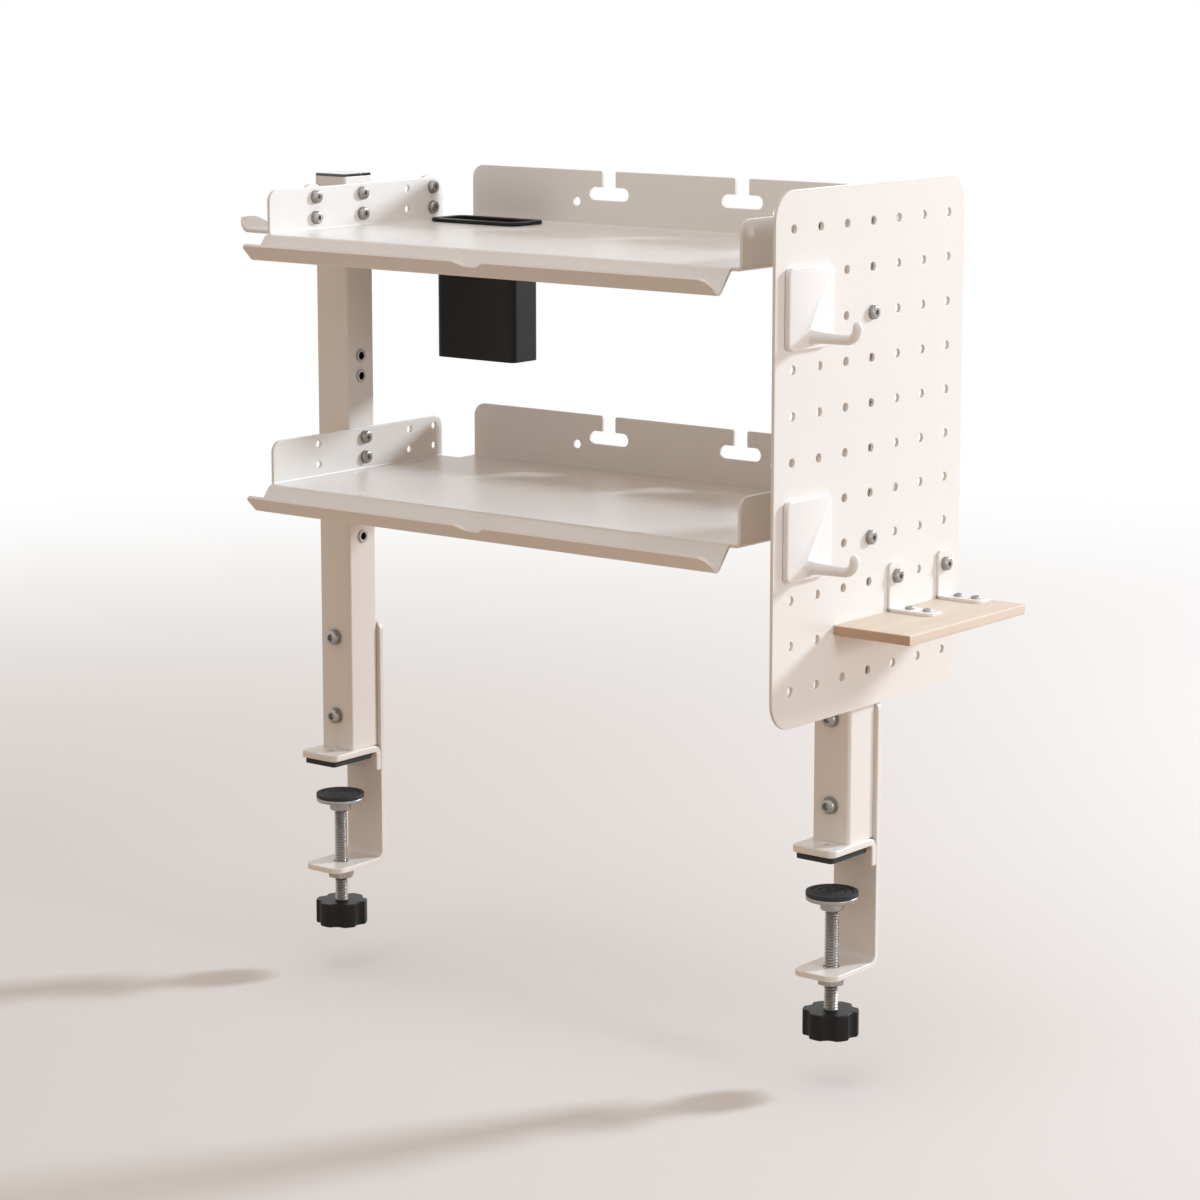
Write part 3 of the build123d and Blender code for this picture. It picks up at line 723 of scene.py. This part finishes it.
def punchTray(tray, high, level):  # fixing holes, rear holes and T-slots
    form = trayForm
    places = [(y, level + z) for y in form["columns"] for z in form["rows"]]
    reach = high.x + rodReach
    carve(tray, *[rod((-reach, y, z), (reach, y, z), form["hole"], 24) for y, z in places])
    x, rise, radius = form["rearHole"]
    start, end = high.y - rodReach, high.y + rodReach
    halfLength, halfGap = form["slotHalf"]
    height = level + form["slot"][1]
    for side in (-1, 1):
        carve(tray, rod((side * x, start, level + rise), (side * x, end, level + rise), radius))
        middle = side * form["slot"][0]
        lowCorner = Vector((middle - halfLength, start, height - halfGap))
        highCorner = Vector((middle + halfLength, end, height + halfGap))
        slot = roundBlock(lowCorner, highCorner, halfGap * 0.998, 8, back)
        neckLow = (middle - form["neck"], start, height)
        neck = block(neckLow, (middle + form["neck"], end, height + form["rise"]))
        carve(tray, slot, neck)
    edit(tray)
    slotX = form["slot"][0]
    choose("EDGE", lambda spot, way: along(way, back) and near(abs(abs(spot.x) - slotX), form["neck"]))
    bevel(form["neckRound"], 3)


def foldGutter(high, level):  # front gutter and lip, with the notch
    form = trayForm
    end = high.x - form["gutterShort"]
    middle, half = (end - high.x) / 2, right * (end + high.x) / 2
    crest = Vector((middle, -form["front"], level))
    valley = crest + form["gutter"]
    tip = valley + form["lip"]
    start = crest + back * (form["setback"] + form["overlap"])
    radii = [form["fold"] + form["sheet"], form["lipBend"]]
    gutter, side = foldStrip([start, crest, valley, tip], half, radii, down)
    for corner, radius in zip((tip - half, tip + half), form["lipTips"]):
        roundTips(gutter, [corner], radius)
    thicken(gutter, form["sheet"], side)
    notch = form["notch"]
    lip, middle = form["lip"].normalized(), Vector((0, tip.y, tip.z))
    reach = Vector((notch["top"], notch["depth"], 4 * form["sheet"]))
    scoop = block(middle - reach, middle + reach, (math.atan2(lip.z, lip.y), 0, 0))
    edit(scoop)
    slant = notch["top"] - notch["bottom"]
    for sign in (-1, 1):
        choose("VERT", lambda spot, way: sign * (spot - middle).dot(lip) > 0)
        widen = 1 + sign * slant / notch["top"]
        bpy.ops.transform.resize(value=(widen, 1, 1), center_override=middle)
    carve(gutter, scoop)
    edit(gutter)
    lean = lip.cross(right)
    choose("EDGE", lambda spot, way: along(way, lean) and abs(spot.x) < 1.01 * notch["top"])
    bevel(notch["rounding"], 6)
    return gutter


def foldTray(node, penNode=None):
    form = trayForm
    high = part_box(node)[1]
    level = high.z - form["rise"]
    tray = foldFloor(high, level)
    punchTray(tray, high, level)
    if penNode:
        penLow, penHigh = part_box(penNode)
        rim = Vector((1, 1, 0)) * (penForm["rim"] - form["penGap"])
        penLow.z, penHigh.z = level - rodReach, level + rodReach
        carve(tray, roundBlock(penLow + rim, penHigh - rim, form["penCorner"]))
    roundOff(tray, form["edge"], refill=True)
    gutter = foldGutter(high, level)
    roundOff(gutter, form["edge"])
    weld(tray, gutter)
    smooth(tray)
    return settle(tray, node + "_folded", node)


foldTray("upper_tray", "pen_holder")
foldTray("lower_tray")
print("trays folded")


# Pegboard
boardForm = {
    "corner": 20 * mm,
    "pitch": 30 * mm,
    "columns": 7,
    "rows": 11,
    "hole": 3 * mm,
    "top": 25 * mm,  # highest row below the edge
    "edge": 0.5 * mm,
}


def drillBoard():
    form = boardForm
    low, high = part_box("pegboard")
    board = block(low, high)
    edit(board)
    choose("EDGE", lambda spot, way: along(way, right))
    bevel(form["corner"], 12)
    y = -(form["columns"] - 1) / 2 * form["pitch"]
    z = high.z - form["top"] - (form["rows"] - 1) * form["pitch"]
    drill = rod((low.x - rodReach, y, z), (high.x + rodReach, y, z), form["hole"], 24)
    for step, count in ((back, form["columns"]), (up, form["rows"])):
        modify(
            drill, "ARRAY", count=count, use_relative_offset=False, use_constant_offset=True,
            constant_offset_displace=step * form["pitch"],
        )
    carve(board, drill)
    roundOff(board, form["edge"])
    settle(board, "pegboard_drilled", "pegboard")


drillBoard()
print("pegboard drilled")


# Posts and caps
postForm = {
    "wall": 2 * mm,
    "corner": 2.5 * mm,
    "edge": 0.3 * mm,
    "bolts": (35 * mm, 95 * mm),
    "boltHole": 4.3 * mm,
    "levels": (402 * mm, 282 * mm, 222 * mm, 162 * mm),
    "rivetHole": 3.55 * mm,
    "boardScrews": (368 * mm, 218 * mm),
    "capPlate": 2 * mm,
    "capEdge": 0.4 * mm,
    "plugInset": 2.1 * mm,
    "plugWall": 2 * mm,
}


def drawPost(side, sign):
    form = postForm
    node = side + "_post"
    low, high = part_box(node)
    x = (low.x + high.x) / 2
    post = block(low, high)
    edit(post)
    choose("FACE", lambda spot, way: along(way, up))
    bpy.ops.mesh.delete(type="FACE")
    choose("EDGE", lambda spot, way: along(way, up))
    bevel(form["corner"], 5)
    thicken(post, form["wall"], -1)
    for z in form["bolts"]:
        carve(post, rod((x, low.y - rodReach, z), (x, high.y + rodReach, z), form["boltHole"], 24))
    inner = x - sign * ((high.x - low.x) / 2 + rodReach)
    for z in [level + row for level in form["levels"] for row in trayForm["rows"]]:
        carve(post, rod((inner, 0, z), (x, 0, z), form["rivetHole"], 24))
    if side == "right":
        for z in form["boardScrews"]:
            carve(post, rod((x, 0, z), (high.x + rodReach, 0, z), form["rivetHole"], 24))
    roundOff(post, form["edge"])
    settle(post, node + "_tube", node)


def mouldCap(side):
    form = postForm
    node = side + "_post_cap"
    low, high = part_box(node)
    under = high.z - form["capPlate"]
    inset = Vector((form["plugInset"], form["plugInset"], 0))
    wall = Vector((form["plugWall"], form["plugWall"], 0))
    cap = roundBlock((low.x, low.y, under), high, form["corner"], 5)
    roundOff(cap, form["capEdge"], 3)
    plugHigh = Vector((high.x, high.y, under + form["capPlate"] / 2))
    plug = block(low + inset, plugHigh - inset)
    weld(cap, carve(plug, block(low + inset + wall - up * rodReach, plugHigh - inset - wall)))
    settle(cap, node + "_moulded", node, finish=capFinish)


for side, sign in (("left", -1), ("right", 1)):
    drawPost(side, sign)
    mouldCap(side)
print("posts and caps made")


# Bent strips: foot plates, clamp bars, hooks and angle brackets
stripForms = {
    "base_bracket": {"thickness": 5 * mm, "bend": 2 * mm, "corner": 5 * mm, "edge": 0.9 * mm},
    "clamp_bar": {"thickness": 4 * mm, "bend": 5 * mm, "corner": 8 * mm, "edge": 0.5 * mm},
    "headphone_hook": {"thickness": 2.8 * mm, "bend": 1.5 * mm, "tipBend": 6 * mm, "edge": 0.6 * mm},
    "ledge_bracket": {"thickness": 2 * mm, "bend": 1.5 * mm, "corner": 4 * mm, "edge": 0.3 * mm},
}


def bendStrip(kind, node, points, half, radii, inside, tips, drills, outlines=()):
    form = stripForms[kind]
    strip, side = foldStrip(points, half, radii, inside)
    if tips:
        corners = [Vector(tip) + half * sign for tip in tips for sign in (-1, 1)]
        roundTips(strip, corners, form["corner"], 8)
    thicken(strip, form["thickness"], side)
    combine(strip, "INTERSECT", outlines)
    carve(strip, *[rod(start, end, radius, 24) for start, end, radius in drills])
    roundOff(strip, form["edge"], 3, refill=not outlines)
    settle(strip, node + "_bent", node)


bracketHole = {"radius": 2.75 * mm, "fromFront": 15.5 * mm}
jawHole = 5.5 * mm
woodHole = 1.8 * mm
hookForm = {"reach": 54 * mm, "tip": Vector((-12.6 * mm, 0, 8.1 * mm))}


def bendFoot(side):
    low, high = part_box(side + "_base_bracket")
    x, half = (low.x + high.x) / 2, right * (high.x - low.x) / 2
    fold = stripForms["base_bracket"]["bend"] + stripForms["base_bracket"]["thickness"]
    points = [(x, low.y, high.z), (x, high.y, high.z), (x, high.y, low.z)]
    y = low.y + bracketHole["fromFront"]
    drill = ((x, y, high.z - rodReach), (x, y, high.z + rodReach), bracketHole["radius"])
    bendStrip("base_bracket", side + "_base_bracket", points, half, [fold], down, points[:1], [drill])


def bendBar(side):
    low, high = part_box(side + "_clamp_bar")
    thickness = stripForms["clamp_bar"]["thickness"]
    x, half = (low.x + high.x) / 2, right * (high.x - low.x) / 2
    face, jaw = high.y - thickness, low.z + thickness
    points = [(x, face, high.z), (x, face, jaw), (x, low.y, jaw)]
    screwLow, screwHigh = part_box(side + "_clamp_screw")
    y = (screwLow.y + screwHigh.y) / 2
    drills = [((x, y, jaw - rodReach), (x, y, jaw + rodReach), jawHole)]
    for z in postForm["bolts"]:
        drills.append(((x, face - rodReach, z), (x, face + rodReach, z), postForm["boltHole"]))
    bend = stripForms["clamp_bar"]["bend"]
    bendStrip("clamp_bar", side + "_clamp_bar", points, half, [bend], back, [points[0], points[2]], drills)


def bendHook(name):
    node = name + "_headphone_hook"
    form = stripForms["headphone_hook"]
    low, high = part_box(node)
    y, half = (low.y + high.y) / 2, back * (high.y - low.y) / 2
    corner = Vector((high.x, y, low.z))
    tongue = corner + left * hookForm["reach"]
    points = [(high.x, y, high.z), corner, tongue, tongue + hookForm["tip"]]
    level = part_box("upper_tray")[1].z - trayForm["rise"]
    drills = [
        ((high.x - rodReach, y, level + row), (high.x + rodReach, y, level + row), trayForm["hole"])
        for row in trayForm["rows"]
    ]
    radii = [form["bend"] + form["thickness"], form["tipBend"] + form["thickness"]]
    spare = Vector((1, 0, 1)) * 2 * half.y  # keeps the outlines' other ends off the hook
    tongueEnd = roundBlock(low - up * rodReach, high + spare, half.y, 24, up)
    plateEnd = roundBlock(low - spare, high + right * rodReach, half.y, 24, right)
    bendStrip("headphone_hook", node, points, half, radii, left, [], drills, [tongueEnd, plateEnd])


def bendAngle(name):
    node = name + "_ledge_bracket"
    form = stripForms["ledge_bracket"]
    low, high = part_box(node)
    y, half = (low.y + high.y) / 2, back * (high.y - low.y) / 2
    points = [(low.x, y, high.z), (low.x, y, low.z), (high.x, y, low.z)]
    fold = form["bend"] + form["thickness"]
    bolts = [box for box in solidBoxes("ledge_bolts") if box[0].y < y < box[1].y]
    screws = [box for box in solidBoxes("ledge_wood_screws") if box[0].y < y < box[1].y]
    drills = []
    for start, end in bolts:
        z = (start.z + end.z) / 2
        drills.append(((low.x - rodReach, y, z), (low.x + rodReach, y, z), trayForm["hole"]))
    for start, end in screws:
        x = (start.x + end.x) / 2
        drills.append(((x, y, low.z - rodReach), (x, y, low.z + rodReach), woodHole))
    bendStrip("ledge_bracket", node, points, half, [fold], right, [points[0], points[2]], drills)


for side in ("left", "right"):
    bendFoot(side)
    bendBar(side)
for name in ("front", "rear"):
    bendHook(name)
for name in ("near", "far"):
    bendAngle(name)
print("strips bent")


# Fasteners: each modelled once along z and copied to its places
fastenerForms = {
    "bolt": {
        "shank": 4 * mm,
        "head": 4.4 * mm,
        "socket": 5 * mm,
        "pitch": 1.25 * mm,
        "washer": 8.1 * mm,
        "width": 0.78,  # of the solid's head and washer
    },
    "screw": {"shank": 2.5 * mm, "head": 2.75 * mm, "socket": 3 * mm, "pitch": 0.8 * mm, "washer": 5.1 * mm},
    "woodScrew": {"shank": 1.75 * mm, "head": 1.6 * mm, "pitch": 1.6 * mm},
    "rivet": {"flange": 1 * mm, "body": 3.5 * mm, "bore": 2.8 * mm},
}
fastenerShares = {
    "dome": 0.6,
    "socketDepth": 0.55,
    "threadDepth": 0.55,
    "cross": (0.55, 0.12),
    "washerEdge": 0.15,
}
fastenerEdges = {"nutCrown": 0.7 * mm, "nut": 0.1 * mm, "rivet": 0.2 * mm}


def cutThread(radius, depth, pitch, low, high, steps=20):
    toObject()
    bpy.ops.mesh.primitive_plane_add(size=1)
    thread = bpy.context.object
    edit(thread)
    choose("VERT", lambda spot, way: spot.x > 0 and spot.y > 0)
    bpy.ops.mesh.delete(type="VERT")  # an angle of two edges is left: one tooth
    mesh = bmesh.from_edit_mesh(thread.data)
    root, start = radius - depth, low - pitch
    for corner in mesh.verts:
        x, y = corner.co.x, corner.co.y
        share = 0.5 if x < 0 and y < 0 else (0 if y > 0 else 1)
        corner.co = (radius if share == 0.5 else root, 0, start + share * pitch)
    turns = math.ceil((high - low) / pitch) + 2
    modify(
        thread, "SCREW", angle=math.tau, screw_offset=pitch, iterations=turns, steps=steps,
        render_steps=steps, use_merge_vertices=True, merge_threshold=0.0001 * mm,
    )
    edit(thread)
    bpy.ops.mesh.select_all(action="SELECT")
    bpy.ops.mesh.remove_doubles(threshold=0.002 * mm)
    for level, way in ((high, up), (low, down)):
        bpy.ops.mesh.select_all(action="SELECT")
        bpy.ops.mesh.bisect(plane_co=(0, 0, level), plane_no=way, use_fill=True, clear_outer=True)
    bpy.ops.mesh.select_all(action="SELECT")
    bpy.ops.mesh.normals_make_consistent(inside=False)
    toObject()
    return thread


def turnScrew(kind, headRadius, reachDown):
    form = fastenerForms[kind]
    screw = rod((0, 0, -form["head"]), (0, 0, 0), headRadius, 40)
    edit(screw)
    choose("EDGE", lambda spot, way: near(spot.z, 0))
    bevel(form["head"] * fastenerShares["dome"], 6)
    depth = form["head"] * fastenerShares["socketDepth"]
    if "socket" in form:
        carve(screw, rod((0, 0, -depth), (0, 0, form["head"]), form["socket"] / math.sqrt(3), 6))
    else:
        length, width = fastenerShares["cross"]
        reach = Vector((headRadius * length, headRadius * width, 2 * depth))
        carve(screw, block(-reach, reach), block(-reach.yxz, reach.yxz))
    teeth = form["pitch"] * fastenerShares["threadDepth"]
    weld(screw, cutThread(form["shank"], teeth, form["pitch"], -reachDown, -form["head"] / 2))
    take(screw)
    bpy.ops.object.shade_smooth_by_angle(angle=math.radians(32))
    return screw


def ringWasher(inner, outer, thickness):
    ring = rod((0, 0, -thickness / 2), (0, 0, thickness / 2), outer, 40)
    carve(ring, rod((0, 0, -thickness), (0, 0, thickness), inner, 32))
    return roundOff(ring, thickness * fastenerShares["washerEdge"])


def hexNut(across, height, bore):
    corner = across / math.sqrt(3)
    nut = rod((0, 0, -height / 2), (0, 0, height / 2), corner, 6)
    crown = rod((0, 0, -height / 2), (0, 0, height / 2), corner, 48)
    edit(crown)
    choose("EDGE", lambda spot, way: near(abs(spot.z), height / 2))
    bevel(fastenerEdges["nutCrown"], 1)
    combine(nut, "INTERSECT", [crown])
    carve(nut, rod((0, 0, -height), (0, 0, height), bore, 32))
    return roundOff(nut, fastenerEdges["nut"])


def rivetNut(flangeRadius, length):
    form = fastenerForms["rivet"]
    nut = rod((0, 0, -form["flange"]), (0, 0, 0), flangeRadius, 40)
    weld(nut, rod((0, 0, -length), (0, 0, -form["flange"] / 2), form["body"], 32))
    carve(nut, rod((0, 0, -2 * length), (0, 0, length), form["bore"], 32))
    return roundOff(nut, fastenerEdges["rivet"])


def copyTo(pattern, places, name, node):
    copies = []
    for spot, way in places:
        made = pattern.copy()
        made.data = pattern.data.copy()
        bpy.context.collection.objects.link(made)
        made.data.transform(Matrix.Translation(spot) @ way.to_track_quat("Z", "Y").to_matrix().to_4x4())
        copies.append(made)
    bpy.data.objects.remove(pattern)
    toObject()
    for made in copies:
        made.select_set(True)
    bpy.context.view_layer.objects.active = copies[0]
    if len(copies) > 1:
        bpy.ops.object.join()
    return settle(copies[0], name, node)


def inward(box):
    return left if box[0].x > 0 else right


def headSpot(box, way):
    middle, half = (box[0] + box[1]) / 2, (box[1] - box[0]) / 2
    return middle + way * abs(half.dot(way))


def spread(boxes, way):  # length along the way and radius across it
    low, high = boxes[0]
    size = high - low
    length = abs(size.dot(way))
    return length, max(side for side, axis in zip(size, way) if abs(axis) < 0.5) / 2


screwNodes = {
    "upper_tray_screws": ("screw", inward),
    "lower_tray_screws": ("screw", inward),
    "headphone_hook_screws": ("screw", lambda box: right),
    "pegboard_screws": ("screw", lambda box: right),
    "ledge_bolts": ("screw", lambda box: right),
    "ledge_wood_screws": ("woodScrew", lambda box: up),
    "left_bar_bolts": ("bolt", lambda box: front),
    "right_bar_bolts": ("bolt", lambda box: front),
}
for node, (kind, heads) in screwNodes.items():
    boxes = solidBoxes(node)
    length, radius = spread(boxes, heads(boxes[0]))
    pattern = turnScrew(kind, radius * fastenerForms[kind].get("width", 1), length)
    copyTo(pattern, [(headSpot(box, heads(box)), heads(box)) for box in boxes], node + "_turned", node)

washerNodes = {
    "upper_tray_washers": ("screw", right),
    "lower_tray_washers": ("screw", right),
    "headphone_hook_washers": ("screw", right),
    "pegboard_washers": ("screw", right),
    "ledge_washers": ("screw", right),
    "left_bar_washers": ("bolt", back),
    "right_bar_washers": ("bolt", back),
}
for node, (kind, way) in washerNodes.items():
    boxes = solidBoxes(node)
    thickness, radius = spread(boxes, way)
    outer = radius * fastenerForms[kind].get("width", 1)
    pattern = ringWasher(fastenerForms[kind]["washer"] / 2, outer, thickness)
    copyTo(pattern, [((low + high) / 2, way) for low, high in boxes], node + "_punched", node)

nutNodes = {
    "headphone_hook_nuts": ("screw", right),
    "ledge_nuts": ("screw", right),
    "left_bar_nuts": ("bolt", back),
    "right_bar_nuts": ("bolt", back),
}
for node, (kind, way) in nutNodes.items():
    boxes = solidBoxes(node)
    height, corner = spread(boxes, way)
    pattern = hexNut(corner * math.sqrt(3), height, fastenerForms[kind]["washer"] / 2)
    copyTo(pattern, [((low + high) / 2, way) for low, high in boxes], node + "_hex", node)

rivetNodes = {
    "left_rivet_nuts": inward,
    "right_rivet_nuts": inward,
    "pegboard_rivet_nuts": lambda box: right,
}
for node, heads in rivetNodes.items():
    boxes = solidBoxes(node)
    length, radius = spread(boxes, heads(boxes[0]))
    pattern = rivetNut(radius, length)
    copyTo(pattern, [(headSpot(box, heads(box)), heads(box)) for box in boxes], node + "_set", node)
print("fasteners copied to their places")


# Clamps: screw, jaw nut and knob
clampForm = {
    "thread": (5 * mm, 1.05 * mm, 2 * mm),  # radius, depth, pitch
    "neck": 3.5 * mm,
    "neckLength": 7 * mm,
    "boss": 8 * mm,
    "plate": 3 * mm,
    "plateEdge": 0.8 * mm,
    "lobes": 6,
    "scallop": 7 * mm,
    "knobEdge": 2 * mm,
    "knobHollow": 12 * mm,
    "knobRecess": 1.6 * mm,
    "lobeReach": 20 * mm,
    "fit": 0.06 * mm,
    "padRings": 3,
    "padRing": 3.4 * mm,
    "padGroove": 0.5 * mm,
    "padCorner": 2.5 * mm,
    "padEdge": 0.6 * mm,
}


def axisOf(node):
    low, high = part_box(node)
    return Vector(((low.x + high.x) / 2, (low.y + high.y) / 2, 0)), low.z, high.z


def makeClamp(side):
    form = clampForm
    axis, bottom, top = axisOf(side + "_clamp_screw")
    radius, depth, pitch = form["thread"]
    shoulder = top - form["neckLength"]
    screw = cutThread(radius, depth, pitch, bottom, shoulder, 32)
    weld(screw, rod((0, 0, shoulder - radius), (0, 0, top), form["neck"]))
    take(screw)
    bpy.ops.object.shade_smooth_by_angle(angle=math.radians(32))
    copyTo(screw, [(axis, up)], side + "_clamp_screw_threaded", side + "_clamp_screw")

    axis, bottom, top = axisOf(side + "_jaw_nut")
    low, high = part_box(side + "_jaw_nut")
    nut = hexNut(high.y - low.y, top - bottom, radius + form["fit"])
    nut.data.transform(Matrix.Rotation(math.pi / 2, 4, "Z"))  # flats face front and back
    copyTo(nut, [(axis + up * (top + bottom) / 2, up)], side + "_jaw_nut_hex", side + "_jaw_nut")

    node = side + "_clamp_knob"
    low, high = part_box(node)
    axis = axisOf(side + "_clamp_screw")[0]
    reach = high.x - axis.x
    knob = rod(axis + up * low.z, axis + up * high.z, reach, 96)
    spoke = right * (form["lobeReach"] + form["scallop"] / 2)
    for lobe in range(form["lobes"]):
        spot = axis + Matrix.Rotation(math.tau * lobe / form["lobes"], 3, "Z") @ spoke
        start, end = spot + up * (low.z - rodReach), spot + up * (high.z + rodReach)
        carve(knob, rod(start, end, form["scallop"], 40))
    recess = axis + up * (low.z + form["knobRecess"])
    carve(knob, rod(axis + up * (low.z - rodReach), recess, form["knobHollow"], 48))
    roundOff(knob, form["knobEdge"] / 2, 4)
    settle(knob, node + "_lobed", node)


for side in ("left", "right"):
    makeClamp(side)
print("clamps made")


# Pressure feet and desk pads
def makePads(side):
    form = clampForm
    node = side + "_pressure_plate"
    low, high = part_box(node)
    axis = axisOf(node)[0]
    radius = (high.x - low.x) / 2
    rim = high.z - form["plate"]
    plate = rod(axis + up * rim, axis + up * high.z, radius, 72)
    weld(plate, rod(axis + up * low.z, axis + up * (rim + form["plate"] / 2), form["boss"], 48))
    carve(plate, rod(axis + up * (low.z - rodReach), axis + up * rim, form["neck"] + form["fit"], 32))
    roundOff(plate, form["plateEdge"], 3)
    settle(plate, node + "_turned", node)

    node = side + "_pressure_pad"
    low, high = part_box(node)
    pad = rod(axis + up * low.z, axis + up * high.z, radius, 72)
    edit(pad)
    choose("FACE", lambda spot, way: way.z > 0.9)
    for ring in range(form["padRings"]):  # grip rings
        bpy.ops.mesh.inset(thickness=form["padRing"])
        extrude(down * form["padGroove"])
        bpy.ops.mesh.inset(thickness=form["padRing"] / 2)
        extrude(up * form["padGroove"])
    roundOff(pad, form["padGroove"] / 2)
    settle(pad, node + "_ringed", node)

    node = side + "_desk_pad"
    low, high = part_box(node)
    pad = block(low, high)
    edit(pad)
    choose("EDGE", lambda spot, way: along(way, up))
    bevel(form["padCorner"], 5)
    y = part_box(side + "_base_bracket")[0].y + bracketHole["fromFront"]
    carve(pad, rod((axis.x, y, low.z - rodReach), (axis.x, y, high.z + rodReach), bracketHole["radius"], 24))
    roundOff(pad, form["padEdge"], 3)
    settle(pad, node + "_cut", node)


for side in ("left", "right"):
    makePads(side)
print("pads made")


# Pen holder
def mouldHolder():
    form = penForm
    low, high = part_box("pen_holder")
    step = Vector((form["rim"], form["rim"], 0))
    wall = Vector((form["wall"], form["wall"], 0))
    rimLow = Vector((low.x, low.y, high.z - form["rimThickness"]))
    holder = roundBlock(low + step, high - step - up * form["rimThickness"] / 2, form["corner"])
    weld(holder, roundBlock(rimLow, high, form["corner"] + form["rim"]))
    hollowLow = low + step + wall + up * form["floor"]
    hollowHigh = high - step - wall + up * rodReach
    carve(holder, roundBlock(hollowLow, hollowHigh, form["corner"] - form["wall"]))
    roundOff(holder, form["edge"], 3)
    settle(holder, "pen_holder_moulded", "pen_holder")


mouldHolder()
print("pen holder moulded")


# Peg hooks
pegHookForm = {
    "plate": 4 * mm,
    "corner": 5 * mm,
    "edge": 0.8 * mm,
    "arm": 3.25 * mm,
    "straight": 27 * mm,
    "curl": 8 * mm,
    "rise": 0.8 * mm,
    "armDrop": 9.7 * mm,
    "below": 17.3 * mm,
    "peg": 2.8 * mm,
    "pitch": 30 * mm,
    "flare": (  # from the plate, times the arm
        (0, 1.75),
        (0.8 * mm, 1.52),
        (2 * mm, 1.38),
        (5 * mm, 1.28),
        (14 * mm, 1.12),
    ),
    "dome": 6,
}


def mouldHook(name):
    form = pegHookForm
    node = name + "_peg_hook"
    low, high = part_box(node)
    y = (low.y + high.y) / 2
    face = high.x - form["arm"] - form["curl"] - form["straight"]
    plateLow = (face - form["plate"], low.y, low.z)
    plate = roundBlock(plateLow, (face, high.y, high.z), form["corner"], 8, right)
    roundOff(plate, form["edge"], 3)
    pegZ = low.z + form["below"]
    for pegY in (y - form["pitch"] / 2, y + form["pitch"] / 2):
        for z in (pegZ, pegZ + form["pitch"]):
            peg = rod((low.x, pegY, z), (face - form["plate"] / 2, pegY, z), form["peg"])
            roundOff(peg, form["edge"] / 2)
            weld(plate, peg)
    armZ = pegZ - form["armDrop"]
    toObject()
    bpy.ops.mesh.primitive_circle_add(
        vertices=40, radius=form["arm"], fill_type="NGON", location=(face - form["plate"] / 2, y, armZ),
        rotation=(0, math.pi / 2, 0),
    )
    arm = bpy.context.object
    bpy.ops.object.transform_apply()
    edit(arm)
    bpy.ops.mesh.select_all(action="SELECT")
    x, size = face - form["plate"] / 2, 1.0
    for run, wide in form["flare"] + ((form["straight"], 1.0),):
        extrude(right * (face + run - x))
        bpy.ops.transform.resize(value=(1, wide / size, wide / size), center_override=(face + run, y, armZ))
        x, size = face + run, wide
    bpy.ops.mesh.spin(steps=12, angle=math.pi / 2, center=(x, y, armZ + form["curl"]), axis=back)
    extrude(up * form["rise"])
    top = armZ + form["curl"] + form["rise"]
    for step in range(1, form["dome"] + 1):
        before, turn = (math.pi / 2 * count / (form["dome"] + 0.5) for count in (step - 1, step))
        extrude(up * form["arm"] * (math.sin(turn) - math.sin(before)))
        share = math.cos(turn) / math.cos(before)
        centre = (high.x - form["arm"], y, top)
        bpy.ops.transform.resize(value=(share, share, 1), center_override=centre)
    bpy.ops.mesh.select_all(action="SELECT")
    bpy.ops.mesh.normals_make_consistent(inside=False)
    weld(plate, arm)
    take(plate)
    bpy.ops.object.shade_smooth_by_angle(angle=math.radians(38))
    settle(plate, node + "_moulded", node)


for name in ("upper", "lower"):
    mouldHook(name)
print("peg hooks moulded")


# Wooden ledge
ledgeEdge = 0.7 * mm


def planeLedge():
    low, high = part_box("peg_ledge")
    ledge = block(low, high)
    for start, end in solidBoxes("ledge_wood_screws"):
        middle = (start + end) / 2
        top = (middle.x, middle.y, high.z + rodReach)
        carve(ledge, rod((middle.x, middle.y, start.z), top, woodHole, 20))
    roundOff(ledge, ledgeEdge, 3)
    settle(ledge, "peg_ledge_planed", "peg_ledge")


planeLedge()
print("ledge planed")
